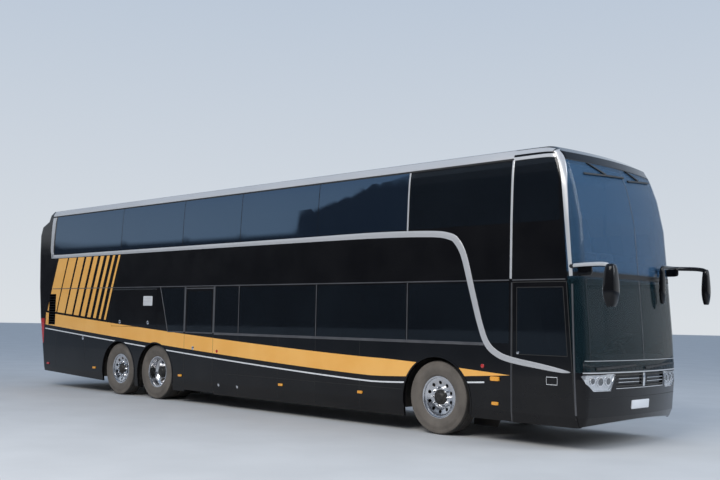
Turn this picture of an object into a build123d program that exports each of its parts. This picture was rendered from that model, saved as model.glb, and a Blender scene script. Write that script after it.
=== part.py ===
from build123d import *
import math
import os

# Three-axle double-deck touring coach. X points forward, Y to the left, Z up.
# The origin is on the ground, below the middle of the box round the coach.
os.makedirs("parts", exist_ok=True)

# Overall sizes, lengths measured from the front axle
body_width = 2550
body_height = 3975
skirt_height = 210
nose_reach = 2512
tail_reach = 11970
mirror_reach = 2940
wheelbase = 7000
tandem_spacing = 1300
nose_bow_radius = 6000
tail_bow_radius = 16000

# Wall, glass and gaps
wall_thickness = 45
glass_thickness = 8
liner_thickness = 6
panel_gap = 6
seat_clearance = 0.3
cabin_pillar = 25

# Levels
cant_height = 3800
brow_height = 3740
windscreen_low = 985
windscreen_split_low = 2200
windscreen_split_high = 2255
lower_window_low = 1320
lower_window_high = 2130
upper_window_low = 2930
upper_window_high = 3765
lower_floor_height = 460
platform_height = 750
upper_floor_height = 2230
floor_thickness = 40
bay_floor_height = 1345

# Wheels and axles
tyre_radius = 522
tyre_width = 296
rim_radius = 286
wheel_track_y = 1080
twin_spacing = 335
kingpin_y = 880
kingpin_radius = 24
spindle_radius = 42
arch_radius = 610
rear_arch_radius = 590
arch_centre_height = 480
liner_inner_y = 540
steer_room = 45

front_axle_x = (tail_reach - mirror_reach) / 2
drive_axle_x = front_axle_x - wheelbase
tag_axle_x = drive_axle_x - tandem_spacing
half_width = body_width / 2


def station(ahead):
    """X of a place that lies this far ahead of the front axle."""
    return front_axle_x + ahead


# The corner posts lean back, from the skirt to the cant rail
post_foot_reach = 2299
post_lean = 0.0733


def post_x(height, back=0):
    """X of the line where the side ends and the nose begins."""
    return station(post_foot_reach - post_lean * height - back)


tail_split_x = station(-11330)

# Plan outlines of the body: height, how far the side, nose and tail stand
# back from their furthest, and the radii of the corners in front and behind
outlines = [
    (skirt_height, 40, 130, 120, 530, 100),
    (420, 8, 40, 150, 480, 120),
    (900, 0, 0, 165, 370, 140),
    (1500, 0, 27, 165, 215, 150),
    (2200, 0, 80, 165, 110, 150),
    (2950, 12, 140, 160, 35, 150),
    (3400, 28, 237, 150, 0, 150),
    (3590, 40, 306, 145, 60, 150),
    (3700, 50, 350, 140, 330, 130),
    (body_height - 125, 78, 430, 130, 370, 130),
    (body_height - 45, 125, 570, 110, 440, 120),
    (body_height, 290, 900, 100, 700, 100),
]
curve_start = 3400
curve_end = body_height - 125


def sagitta(radius, half_chord):
    """How far an arc stands out over its chord."""
    return radius - math.sqrt(radius**2 - half_chord**2)


def envelope(inset, foot=0):
    """The body's outer form, or the form that lies inside it by inset."""
    with BuildPart() as hull:
        for height, side_back, nose_back, nose_corner, tail_back, tail_corner in outlines:
            half = half_width - side_back - inset
            nose_x = station(nose_reach - nose_back) - inset
            tail_x = station(tail_back - tail_reach) + inset
            nose_edge = nose_x - sagitta(nose_bow_radius, half)
            tail_edge = tail_x + sagitta(tail_bow_radius, half)
            sink = inset * min(max((height - curve_start) / (curve_end - curve_start), 0), 1)
            level = height - sink - (foot if height == skirt_height else 0)
            with BuildSketch(Plane.XY.offset(level)) as outline:
                with BuildLine():
                    ThreePointArc((nose_edge, -half), (nose_x, 0), (nose_edge, half))
                    Line((nose_edge, half), (tail_edge, half))
                    ThreePointArc((tail_edge, half), (tail_x, 0), (tail_edge, -half))
                    Line((tail_edge, -half), (nose_edge, -half))
                make_face()
                corners = outline.vertices().sort_by(Axis.X)
                fillet(corners[-2:], radius=nose_corner - inset)
                corners = outline.vertices().sort_by(Axis.X)
                fillet(corners[:2], radius=tail_corner - inset)
        loft(ruled=True)
    return hull.part


outer_form = envelope(0)
glass_form = envelope(glass_thickness, foot=100)
cabin_form = envelope(wall_thickness, foot=100)

with BuildPart() as shell_build:
    add(outer_form)
    add(cabin_form, mode=Mode.SUBTRACT)
body_shell = shell_build.part

with BuildPart() as skin_build:
    add(outer_form)
    add(glass_form, mode=Mode.SUBTRACT)
outer_skin = skin_build.part


def common(form, block):
    """What a form and a block share."""
    with BuildPart() as shared:
        add(form)
        add(block, mode=Mode.INTERSECT)
    return shared.part


# Both sides are cut on the right, and the left ones are mirrored
side_reach = 1500
side_inner = 950
with BuildPart() as right_block:
    with Locations(Location((tail_split_x, -side_inner, 0))):
        Box(
            station(nose_reach) - tail_split_x, side_reach - side_inner, 2 * body_height,
            align=(Align.MIN, Align.MAX, Align.CENTER),
        )
right_shell = common(body_shell, right_block.part)
right_skin = common(outer_skin, right_block.part)


def mirrored(piece):
    """The left twin of a piece of the right side."""
    return piece.mirror(Plane.XZ)


def finish(piece, name):
    """Label a finished piece and write it."""
    piece.part.label = name
    export_step(piece.part, f"parts/{name}.step")


# Openings. Each pane is (rear low, rear high, front low, front high) along X
front_door_rear = station(1300)
front_door_low = 285
door_top = 2135
middle_door_rear = station(-6050)
middle_door_front = station(-5170)
middle_door_low = 235
post_margin = 60
door_post = 30
rear_pane_rear = station(-11130)
rear_pane_low_front = station(-8830)
rear_pane_high_front = station(-8630)
lower_pane_low_rear = station(-6580)
lower_pane_high_rear = station(-6860)

flap_rear = station(-8600)
flap_front = station(-6980)
flap_low = 1380
flap_top = 2110
hinge_bead_radius = 8
hinge_ring = 6

upper_seams = [-6220, -4490, -2510, -570, 1270]
upper_panes = []
for rear_seam, front_seam in zip([-8320] + upper_seams[:-1], upper_seams):
    rear_edge = station(rear_seam) + cabin_pillar
    front_edge = station(front_seam) - cabin_pillar
    upper_panes.append((rear_edge, rear_edge, front_edge, front_edge))
upper_panes.append((
    station(1270) + cabin_pillar,
    station(1270) + cabin_pillar,
    post_x(upper_window_low, post_margin),
    post_x(upper_window_high, post_margin),
))
upper_panes.append((rear_pane_rear, rear_pane_rear, rear_pane_low_front, rear_pane_high_front))

lower_seams = [-4460, -2490, -550, 1270]
lower_panes = []
for rear_seam, front_seam in zip(lower_seams[:-1], lower_seams[1:]):
    rear_edge = station(rear_seam) + cabin_pillar
    front_edge = station(front_seam) - cabin_pillar
    lower_panes.append((rear_edge, rear_edge, front_edge, front_edge))
last_edge = station(lower_seams[0]) - cabin_pillar
right_lower_panes = lower_panes + [
    (lower_pane_low_rear, lower_pane_high_rear,
     middle_door_rear - door_post, middle_door_rear - door_post),
    (middle_door_front + door_post, middle_door_front + door_post, last_edge, last_edge),
]
left_lower_panes = lower_panes + [
    (lower_pane_low_rear, lower_pane_high_rear, last_edge, last_edge),
    (station(1270) + cabin_pillar, station(1270) + cabin_pillar,
     post_x(lower_window_low, post_margin), post_x(lower_window_high, post_margin)),
]
pane_corner = 40


def pane_blocks(panes, low, high):
    """Blocks that cut one deck's windows on the right side."""
    blocks = []
    for rear_low, rear_high, front_low, front_high in panes:
        with BuildPart() as block:
            with BuildSketch(Plane.XZ):
                Polygon(
                    (rear_low, low), (front_low, low), (front_high, high), (rear_high, high),
                    align=None,
                )
            extrude(amount=side_reach)
        blocks.append(block.part)
    return blocks


upper_blocks = pane_blocks(upper_panes, upper_window_low, upper_window_high)
right_blocks = upper_blocks + pane_blocks(right_lower_panes, lower_window_low, lower_window_high)
left_blocks = upper_blocks + pane_blocks(left_lower_panes, lower_window_low, lower_window_high)

# Air grille of the engine bay, high on both sides behind
louvre_rear = station(-11220)
louvre_front = station(-10950)
louvre_low = 1380
louvre_pitch = 56
louvre_height = 34
louvre_count = 12


# Flap hinge: a bead along the outer edge of the wall over the flap
hinge_height = flap_top + hinge_bead_radius + hinge_ring
hinge_y = half_width

# What every side wall loses: arches, luggage opening and air slots
with BuildPart() as side_openings:
    with BuildSketch(Plane.XZ):
        for axle_x, radius in (
            (front_axle_x, arch_radius),
            (drive_axle_x, rear_arch_radius),
            (tag_axle_x, rear_arch_radius),
        ):
            with Locations((axle_x, arch_centre_height)):
                Circle(radius)
                Rectangle(2 * radius, arch_centre_height, align=(Align.CENTER, Align.MAX))
        with Locations(((flap_rear + flap_front) / 2, flap_low - panel_gap)):
            Rectangle(
                flap_front - flap_rear + 2 * panel_gap, hinge_height - flap_low + panel_gap,
                align=(Align.CENTER, Align.MIN),
            )
        for row in range(louvre_count):
            with Locations(((louvre_rear + louvre_front) / 2, louvre_low + row * louvre_pitch)):
                Rectangle(louvre_front - louvre_rear, louvre_height, align=(Align.CENTER, Align.MIN))
    extrude(amount=side_reach)


# The skirt ends higher ahead of the front arch and rises behind the tag arch
front_skirt_low = 295
rear_skirt_start = 250
tail_low = 340


def side_wall(blocks):
    """A wall of the right side with these windows cut."""
    with BuildPart() as wall:
        add(right_shell)
        with BuildSketch(Plane.XZ):
            Polygon(
                (tail_split_x, tail_low), (tag_axle_x - rear_arch_radius, rear_skirt_start),
                (tag_axle_x, rear_skirt_start), (tag_axle_x, 0), (front_axle_x, 0),
                (front_axle_x, front_skirt_low), (post_x(front_skirt_low), front_skirt_low),
                (post_x(cant_height), cant_height), (tail_split_x, cant_height),
                align=None,
            )
        extrude(amount=side_reach, mode=Mode.INTERSECT)
        for block in blocks:
            add(block, mode=Mode.SUBTRACT)
        add(side_openings.part, mode=Mode.SUBTRACT)
        with BuildSketch(Plane.YZ.offset(flap_rear)):
            with Locations((-hinge_y, hinge_height)):
                Circle(hinge_bead_radius)
        extrude(amount=flap_front - flap_rear)
    return wall.part


def door_outline(gap):
    """Both passenger doors on the XZ plane, each smaller by gap, hung from the top."""
    with BuildSketch(Plane.XZ) as outline:
        Polygon(
            (front_door_rear + gap, front_door_low + gap),
            (post_x(front_door_low, gap), front_door_low + gap),
            (post_x(door_top, gap), door_top), (front_door_rear + gap, door_top),
            align=None,
        )
        Polygon(
            (middle_door_rear + gap, middle_door_low + gap),
            (middle_door_front - gap, middle_door_low + gap),
            (middle_door_front - gap, door_top), (middle_door_rear + gap, door_top),
            align=None,
        )
    return outline.sketch


with BuildPart() as side_wall_right:
    add(side_wall(right_blocks))
    with BuildSketch(Plane.XZ):
        Polygon(
            (front_door_rear, 0), (post_x(0) + wall_thickness, 0),
            (post_x(door_top) + wall_thickness, door_top), (front_door_rear, door_top),
            align=None,
        )
        with Locations(((middle_door_rear + middle_door_front) / 2, door_top)):
            Rectangle(middle_door_front - middle_door_rear, door_top, align=(Align.CENTER, Align.MAX))
    extrude(amount=side_reach, mode=Mode.SUBTRACT)
finish(side_wall_right, "side_wall_right")

with BuildPart() as side_wall_left:
    add(mirrored(side_wall(left_blocks)))
finish(side_wall_left, "side_wall_left")


# Passenger doors of the right side, each as thick as the wall, with its window cut
door_glass_margin = 70
door_glass_low = 1180
middle_glass_low = lower_window_low


def door_window_outline():
    """The windows of both doors on the XZ plane."""
    with BuildSketch(Plane.XZ) as outline:
        Polygon(
            (front_door_rear + door_glass_margin, door_glass_low),
            (post_x(door_glass_low, door_glass_margin), door_glass_low),
            (post_x(door_top - door_glass_margin, door_glass_margin), door_top - door_glass_margin),
            (front_door_rear + door_glass_margin, door_top - door_glass_margin),
            align=None,
        )
        Polygon(
            (middle_door_rear + door_glass_margin, middle_glass_low),
            (middle_door_front - door_glass_margin, middle_glass_low),
            (middle_door_front - door_glass_margin, door_top - door_glass_margin),
            (middle_door_rear + door_glass_margin, door_top - door_glass_margin),
            align=None,
        )
    return outline.sketch


with BuildPart() as door_window_blocks:
    add(door_window_outline())
    extrude(amount=side_reach, dir=(0, -1, 0))

with BuildPart() as passenger_doors:
    add(door_outline(panel_gap))
    extrude(amount=side_reach, dir=(0, -1, 0))
    add(right_shell, mode=Mode.INTERSECT)
    add(door_window_blocks.part, mode=Mode.SUBTRACT)
finish(passenger_doors, "passenger_doors")


# Bonded side glass of both decks and of the doors, flush with the skin
right_panes = [common(block, right_skin) for block in right_blocks]
door_panes = [common(block, right_skin) for block in door_window_blocks.part.solids()]
left_panes = [mirrored(common(block, right_skin)) for block in left_blocks]
with BuildPart() as side_glass:
    for pane in right_panes + door_panes + left_panes:
        add(pane)
finish(side_glass, "side_glass")


# Nose: the panel below the windscreens, with recesses for lamps and grille
nose_low = 385
nose_corner_low = 300
recess_depth = 26
grille_half_width = 640
grille_low = 785
grille_high = 965
grille_bar_height = 16
grille_bar_count = 4
grille_corner = 30
lamp_corner = 20
nose_low_edge = 20
lamp_outline = [
    # distance from the middle, height
    (1262, 955), (655, 965), (745, 748), (1085, 748), (1215, 850),
]
reach_over_nose = station(nose_reach + 300)
nose_start_x = station(1500)
recess_form = envelope(recess_depth, foot=100)

with BuildPart() as lamp_blocks:
    for side in (-1, 1):
        with BuildSketch(Plane.YZ.offset(nose_start_x)) as lamp_face:
            Polygon(*[(side * reach, height) for reach, height in lamp_outline], align=None)
            fillet(lamp_face.vertices(), radius=lamp_corner)
        extrude(amount=reach_over_nose - nose_start_x)
    with BuildSketch(Plane.XZ):
        Polygon(
            (post_x(0), 0), (reach_over_nose, 0), (reach_over_nose, body_height),
            (post_x(body_height), body_height), align=None,
        )
    extrude(amount=side_reach, both=True, mode=Mode.INTERSECT)

with BuildPart() as lamp_layer:
    add(outer_form)
    add(recess_form, mode=Mode.SUBTRACT)


def nose_region(low, high, forward=0):
    """Block ahead of the corner posts between two levels."""
    with BuildPart() as region:
        with BuildSketch(Plane.XZ):
            Polygon(
                (post_x(low) + forward, low), (reach_over_nose, low),
                (reach_over_nose, high), (post_x(high) + forward, high),
                align=None,
            )
        extrude(amount=side_reach, both=True)
    return region.part


with BuildPart() as grille_block:
    with BuildSketch(Plane.YZ.offset(nose_start_x)):
        with Locations((0, (grille_low + grille_high) / 2)):
            RectangleRounded(2 * grille_half_width, grille_high - grille_low, grille_corner)
    extrude(amount=reach_over_nose - nose_start_x)

with BuildPart() as recesses:
    add(lamp_blocks.part)
    add(grille_block.part)
    add(lamp_layer.part, mode=Mode.INTERSECT)

with BuildPart() as front_panel:
    add(nose_region(0, windscreen_low))
    add(body_shell, mode=Mode.INTERSECT)
    with BuildSketch(Plane.XZ):
        Polygon(
            (nose_start_x, 0), (reach_over_nose, 0), (reach_over_nose, nose_low + nose_low_edge),
            (station(nose_reach), nose_low), (post_x(nose_corner_low), nose_corner_low),
            (nose_start_x, nose_corner_low),
            align=None,
        )
    extrude(amount=side_reach, both=True, mode=Mode.SUBTRACT)
    add(recesses.part, mode=Mode.SUBTRACT)
finish(front_panel, "front_panel")

with BuildPart() as headlamps:
    add(lamp_blocks.part)
    add(lamp_layer.part, mode=Mode.INTERSECT)
finish(headlamps, "headlamps")

grille_pitch = (grille_high - grille_low) / grille_bar_count
with BuildPart() as grille:
    with BuildSketch(Plane.XZ):
        for bar in range(grille_bar_count):
            with Locations((reach_over_nose, grille_low + (bar + 0.5) * grille_pitch)):
                Rectangle(
                    reach_over_nose - nose_start_x, grille_bar_height,
                    align=(Align.MAX, Align.CENTER),
                )
    extrude(amount=grille_half_width, both=True)
    add(grille_block.part, mode=Mode.INTERSECT)
    add(lamp_layer.part, mode=Mode.INTERSECT)
finish(grille, "grille")


# Frame behind the windscreens: corner posts, sill, transom and top rail
opening_half_width = 1120
opening_corner = 60
frame_margin = 55

with BuildPart() as frame_layer:
    add(glass_form)
    add(cabin_form, mode=Mode.SUBTRACT)

with BuildPart() as transom_face:
    add(nose_region(windscreen_split_low, windscreen_split_high))
    add(outer_skin, mode=Mode.INTERSECT)

with BuildPart() as front_frame:
    add(nose_region(windscreen_low, brow_height))
    add(frame_layer.part, mode=Mode.INTERSECT)
    with BuildSketch(Plane.YZ.offset(nose_start_x)):
        for low, high in (
            (windscreen_low + frame_margin, windscreen_split_low - frame_margin / 2),
            (windscreen_split_high + frame_margin / 2, brow_height - frame_margin),
        ):
            with Locations((0, (low + high) / 2)):
                RectangleRounded(2 * opening_half_width, high - low, opening_corner)
    extrude(amount=reach_over_nose - nose_start_x, mode=Mode.SUBTRACT)
    add(transom_face.part)
finish(front_frame, "front_frame")

with BuildPart() as windscreens:
    add(nose_region(windscreen_low, windscreen_split_low))
    add(nose_region(windscreen_split_high, brow_height))
    add(outer_skin, mode=Mode.INTERSECT)
finish(windscreens, "windscreens")


# Roof, with the brow over the upper windscreen and two raised hatches
hatch_length = 780
hatch_width = 700
hatch_rise = 25
hatch_corner = 80
hatch_chamfer = 10
hatch_places = [station(-1500), station(-8400)]
over_roof = body_height + 200
behind_tail = station(-tail_reach - 200)

with BuildPart() as roof:
    with BuildSketch(Plane.XZ):
        Polygon(
            (behind_tail, cant_height), (post_x(cant_height), cant_height),
            (post_x(brow_height), brow_height), (reach_over_nose, brow_height),
            (reach_over_nose, over_roof), (behind_tail, over_roof),
            align=None,
        )
    extrude(amount=side_reach, both=True)
    add(body_shell, mode=Mode.INTERSECT)
finish(roof, "roof")

with BuildPart() as roof_hatches:
    with BuildSketch(Plane.XY.offset(body_height)):
        with Locations(*[(x, 0) for x in hatch_places]):
            RectangleRounded(hatch_length, hatch_width, hatch_corner)
    extrude(amount=hatch_rise)
    chamfer(roof_hatches.faces().sort_by(Axis.Z)[-2:].edges(), length=hatch_chamfer)
finish(roof_hatches, "roof_hatches")


# Tail: the wall with its window, engine opening and lamp columns
tail_window_low = 2960
tail_window_high = 3560
tail_window_width = 1900
cover_width = 1560
cover_low = 640
cover_top = 1900
tail_lamp_front = station(-11420)
tail_lamp_low = 950
tail_lamp_high = 1500
tail_lamp_inner = 1090
tail_block_depth = 1000

with BuildPart() as tail_lamp_blocks:
    with BuildSketch(Plane.XZ):
        with Locations((tail_lamp_front, (tail_lamp_low + tail_lamp_high) / 2)):
            Rectangle(tail_block_depth, tail_lamp_high - tail_lamp_low, align=(Align.MAX, Align.CENTER))
    extrude(amount=side_reach, both=True)
    with BuildSketch(Plane.XZ):
        with Locations((tail_lamp_front, (tail_lamp_low + tail_lamp_high) / 2)):
            Rectangle(2 * tail_block_depth, tail_lamp_high, align=(Align.CENTER, Align.CENTER))
    extrude(amount=tail_lamp_inner, both=True, mode=Mode.SUBTRACT)

with BuildPart() as tail_window_block:
    with BuildSketch(Plane.YZ.offset(behind_tail)):
        with Locations((0, (tail_window_low + tail_window_high) / 2)):
            RectangleRounded(tail_window_width, tail_window_high - tail_window_low, pane_corner)
    extrude(amount=tail_block_depth)

cover_hinge_height = cover_top + hinge_bead_radius + hinge_ring


def tail_x(height):
    """X of the tail's furthest line at a height between two outlines."""
    rows = [(row[0], row[4]) for row in outlines]
    for (low, low_back), (high, high_back) in zip(rows, rows[1:]):
        if low <= height <= high:
            share = (height - low) / (high - low)
            return station(low_back + share * (high_back - low_back) - tail_reach)


with BuildPart() as cover_opening:
    with BuildSketch(Plane.YZ.offset(behind_tail)):
        with Locations((0, cover_low - panel_gap)):
            Rectangle(
                cover_width + 2 * panel_gap, cover_hinge_height - cover_low + panel_gap,
                align=(Align.CENTER, Align.MIN),
            )
    extrude(amount=tail_block_depth)

hinge_offset = 500
cover_hinge_x = tail_x(cover_hinge_height)
with BuildPart() as lamp_recess:
    add(tail_lamp_blocks.part)
    add(lamp_layer.part, mode=Mode.INTERSECT)

with BuildPart() as rear_wall:
    with BuildSketch(Plane.XZ):
        Polygon(
            (behind_tail, tail_low), (tail_split_x, tail_low),
            (tail_split_x, cant_height), (behind_tail, cant_height),
            align=None,
        )
    extrude(amount=side_reach, both=True)
    add(body_shell, mode=Mode.INTERSECT)
    add(tail_window_block.part, mode=Mode.SUBTRACT)
    add(cover_opening.part, mode=Mode.SUBTRACT)
    add(lamp_recess.part, mode=Mode.SUBTRACT)
    with BuildSketch(Plane.XZ):
        with Locations((cover_hinge_x, cover_hinge_height)):
            Circle(hinge_bead_radius)
    extrude(amount=hinge_offset, both=True)
finish(rear_wall, "rear_wall")

with BuildPart() as tail_lamps:
    add(lamp_recess.part)
finish(tail_lamps, "tail_lamps")

with BuildPart() as rear_window:
    add(tail_window_block.part)
    add(outer_skin, mode=Mode.INTERSECT)
finish(rear_window, "rear_window")


# Luggage flaps and engine cover: as thick as the wall, hooked over their beads
ring_inner = hinge_bead_radius + seat_clearance
ring_outer = ring_inner + hinge_ring
ring_reach = 3 * ring_outer


def ring_face(outward):
    """Open ring that hooks under a bead; outward is the side it opens to."""
    with BuildSketch(mode=Mode.PRIVATE) as face:
        Circle(ring_outer)
        Circle(ring_inner, mode=Mode.SUBTRACT)
        Polygon(
            (0, 0), (-outward * ring_reach, -ring_reach),
            (outward * ring_reach, -ring_reach), (outward * ring_reach, -ring_reach / 2),
            align=None, mode=Mode.INTERSECT,
        )
    return face.sketch


with BuildPart() as luggage_flap_right:
    with BuildSketch(Plane.XZ):
        with Locations(((flap_rear + flap_front) / 2, flap_low)):
            Rectangle(flap_front - flap_rear, flap_top - flap_low, align=(Align.CENTER, Align.MIN))
    extrude(amount=side_reach)
    add(right_shell, mode=Mode.INTERSECT)
    with BuildSketch(Plane.YZ.offset(flap_rear)):
        with Locations((-hinge_y, hinge_height)):
            add(ring_face(-1))
    extrude(amount=flap_front - flap_rear)
finish(luggage_flap_right, "luggage_flap_right")

with BuildPart() as luggage_flap_left:
    add(mirrored(luggage_flap_right.part))
finish(luggage_flap_left, "luggage_flap_left")

with BuildPart() as engine_cover:
    with BuildSketch(Plane.YZ.offset(behind_tail)):
        with Locations((0, cover_low)):
            Rectangle(cover_width, cover_top - cover_low, align=(Align.CENTER, Align.MIN))
    extrude(amount=tail_block_depth)
    add(body_shell, mode=Mode.INTERSECT)
    with BuildSketch(Plane.XZ):
        with Locations((cover_hinge_x, cover_hinge_height)):
            add(ring_face(-1))
    extrude(amount=hinge_offset, both=True)
finish(engine_cover, "engine_cover")


# Chassis: two box rails of straight runs that rise over the axles, welded to one another,
# cross members, pads and eye
rail_inner = 400
rail_width = 90
low_rail_bottom = 270
high_rail_bottom = 620
rail_depth = 150
rail_front = station(2200)
rail_rear = station(-11250)
front_kick = station(-640)
rear_kick = station(-6100)
kick_length = 250
kick_shift = 60
front_rail_drop = 40
cross_depth = 90
cross_width = 60
cross_rise = 20
pad_radius = 43
pad_depth = 30
pad_places = [station(-1500), station(-5600)]
eye_radius = 21
eye_thickness = 40
eye_reach = station(2380)
eye_half_width = 55
cross_places = [
    station(x) for x in (1900, 900, -1100, -2200, -3700, -5300, -6600, -7650, -9000, -10100, -10900)
]

weld_gap = 0.3
rail_points = [
    # bottom X and height, top X and height
    (rail_rear, high_rail_bottom, rail_rear, high_rail_bottom + rail_depth),
    (rear_kick - kick_length, high_rail_bottom,
     rear_kick - kick_length + kick_shift, high_rail_bottom + rail_depth),
    (rear_kick, low_rail_bottom, rear_kick + kick_shift, low_rail_bottom + rail_depth),
    (front_kick, low_rail_bottom, front_kick - kick_shift, low_rail_bottom + rail_depth),
    (front_kick + kick_length, high_rail_bottom - front_rail_drop,
     front_kick + kick_length - kick_shift, platform_height - floor_thickness),
    (rail_front, high_rail_bottom - front_rail_drop, rail_front, platform_height - floor_thickness),
]


def chassis_form(gap):
    """Straight rail runs, cross members, pads and eye, each this far from the next."""
    with BuildPart() as form:
        for rear, front in zip(rail_points, rail_points[1:]):
            rear_low_x, rear_low, rear_top_x, rear_top = rear
            front_low_x, front_low, front_top_x, front_top = front
            low_share = gap / (front_low_x - rear_low_x)
            top_share = gap / (front_top_x - rear_top_x)
            with BuildSketch(Plane.XZ.offset(rail_inner)):
                Polygon(
                    (rear_low_x + gap, rear_low + (front_low - rear_low) * low_share),
                    (front_low_x, front_low), (front_top_x, front_top),
                    (rear_top_x + gap, rear_top + (front_top - rear_top) * top_share), align=None,
                )
            extrude(amount=rail_width)
        mirror(about=Plane.XZ)
        for place in cross_places:
            high = place > front_kick + kick_length or place < rear_kick - kick_length
            bottom = high_rail_bottom if high else low_rail_bottom + cross_rise
            with Locations(Location((place, 0, bottom + gap))):
                Box(
                    cross_width, 2 * (rail_inner - gap), cross_depth - gap,
                    align=(Align.CENTER, Align.CENTER, Align.MIN),
                )
        with BuildSketch(Plane.XY.offset(low_rail_bottom - pad_depth)):
            for place in pad_places:
                for side in (-1, 1):
                    with Locations((place, side * (rail_inner + rail_width / 2))):
                        Circle(pad_radius)
        extrude(amount=pad_depth - gap)
        with BuildSketch(Plane.XY.offset(high_rail_bottom - front_rail_drop)):
            with Locations(((cross_places[0] + eye_reach) / 2, 0)):
                Rectangle(eye_reach - cross_places[0], 2 * eye_half_width)
            with Locations((eye_reach, 0)):
                Circle(eye_half_width)
                Circle(eye_radius, mode=Mode.SUBTRACT)
        extrude(amount=eye_thickness)
    return form.part


with BuildPart() as chassis_frame:
    add(chassis_form(weld_gap))
finish(chassis_frame, "chassis_frame")


# Wheelhouses: arched liners that meet the inside of the walls
liner_foot = 330
rear_liner_y = 560
liner_cut_half = 130
liner_cut_top = 700
liner_rows = [
    # axle X, radius, inner Y
    (front_axle_x, arch_radius + steer_room, liner_inner_y),
    (drive_axle_x, rear_arch_radius + steer_room, rear_liner_y),
    (tag_axle_x, rear_arch_radius + steer_room, rear_liner_y),
]


def wheel_room(grow, foot):
    """The arched rooms for the wheels, larger by grow."""
    with BuildPart() as room:
        for side in (-1, 1):
            for axle_x, radius, inner_y in liner_rows:
                with BuildSketch(Plane.XZ.offset(-side * (inner_y - grow))):
                    with Locations((axle_x, arch_centre_height)):
                        Circle(radius + grow)
                        Rectangle(
                            2 * (radius + grow), arch_centre_height - foot,
                            align=(Align.CENTER, Align.MAX),
                        )
                extrude(amount=-side * (side_reach - inner_y))
    return room.part


liner_space = wheel_room(liner_thickness, 0)
with BuildPart() as wheelhouses:
    add(wheel_room(liner_thickness, liner_foot))
    add(wheel_room(0, 0), mode=Mode.SUBTRACT)
    for axle_x, radius, inner_y in liner_rows:
        with Locations(Location((axle_x, 0, 0))):
            Box(
                2 * liner_cut_half, 2 * inner_y + 1, liner_cut_top,
                align=(Align.CENTER, Align.CENTER, Align.MIN), mode=Mode.SUBTRACT,
            )
    add(cabin_form, mode=Mode.INTERSECT)
finish(wheelhouses, "wheelhouses")


# Floors: profiles along the coach, cut to the inside of the walls
liner_gap = 60
platform_rear = station(-arch_radius - steer_room - liner_gap)
saloon_rear = station(-wheelbase + rear_arch_radius + steer_room + liner_gap)
bay_front = station(-6900)
bay_rear = station(-10900)
shelf_height = 1165
floor_front = station(nose_reach)
stair_rear = station(-3250)
stair_front = station(-1450)
stair_inner = 560
stair_outer = 1200

well_inner = -600
middle_well_inner = -820

with BuildPart() as lower_floor:
    with BuildSketch(Plane.XZ):
        for rear, front, low, high in (
            (saloon_rear, platform_rear, lower_floor_height - floor_thickness, lower_floor_height),
            (platform_rear, floor_front, platform_height - floor_thickness, platform_height),
            (platform_rear, platform_rear + floor_thickness, lower_floor_height - floor_thickness,
             platform_height),
            (saloon_rear - floor_thickness, saloon_rear, lower_floor_height - floor_thickness,
             shelf_height),
            (bay_front - floor_thickness, saloon_rear, shelf_height - floor_thickness, shelf_height),
            (bay_front - floor_thickness, bay_front, shelf_height,
             upper_floor_height - floor_thickness),
            (bay_rear, bay_front, bay_floor_height - floor_thickness, bay_floor_height),
            (bay_rear - floor_thickness, bay_rear, bay_floor_height - floor_thickness,
             upper_floor_height - floor_thickness),
        ):
            with Locations((rear, low)):
                Rectangle(front - rear, high - low, align=(Align.MIN, Align.MIN))
    extrude(amount=side_reach, both=True)
    add(cabin_form, mode=Mode.INTERSECT)
    add(liner_space, mode=Mode.SUBTRACT)
    add(chassis_form(0), mode=Mode.SUBTRACT)
    with Locations(Location((front_door_rear, -side_reach, 0))):
        Box(
            post_x(0) - front_door_rear, side_reach + well_inner, platform_height,
            align=(Align.MIN, Align.MIN, Align.MIN), mode=Mode.SUBTRACT,
        )
    with Locations(Location((middle_door_rear, -side_reach, 0))):
        Box(
            middle_door_front - middle_door_rear, side_reach + middle_well_inner, lower_floor_height,
            align=(Align.MIN, Align.MIN, Align.MIN), mode=Mode.SUBTRACT,
        )
finish(lower_floor, "lower_floor")

step_thickness = 30
step_depth = 250
front_step_drop = 200
middle_step_drop = 170


def step(rear, front, inner, width, height, drop, plate):
    """A tread below height, from inner outwards, and its riser under a plate."""
    with BuildPart() as piece:
        with Locations(Location((rear, inner, height - drop))):
            Box(front - rear, width, step_thickness, align=(Align.MIN, Align.MAX, Align.MAX))
        with Locations(Location((rear, inner, height - plate))):
            Box(
                front - rear, step_thickness, drop + step_thickness - plate,
                align=(Align.MIN, Align.MIN, Align.MAX),
            )
    return piece.part


step_end_back = 150
front_step_end = post_x(platform_height, step_end_back)
with BuildPart() as door_steps:
    add(step(
        front_door_rear, front_step_end, well_inner, step_depth, platform_height, front_step_drop,
        floor_thickness,
    ))
    add(step(
        front_door_rear, front_step_end, well_inner - step_depth, side_reach,
        platform_height - front_step_drop, front_step_drop, step_thickness,
    ))
    add(step(
        middle_door_rear, middle_door_front, middle_well_inner, side_reach, lower_floor_height,
        middle_step_drop, floor_thickness,
    ))
    add(cabin_form, mode=Mode.INTERSECT)

with BuildPart() as upper_floor:
    with BuildSketch(Plane.XY.offset(upper_floor_height - floor_thickness)):
        with Locations(((behind_tail + reach_over_nose) / 2, 0)):
            Rectangle(reach_over_nose - behind_tail, body_width)
        with Locations(((stair_rear + stair_front) / 2, (stair_inner + stair_outer) / 2)):
            Rectangle(stair_front - stair_rear, stair_outer - stair_inner, mode=Mode.SUBTRACT)
    extrude(amount=floor_thickness)
    add(cabin_form, mode=Mode.INTERSECT)
finish(upper_floor, "upper_floor")

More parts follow.
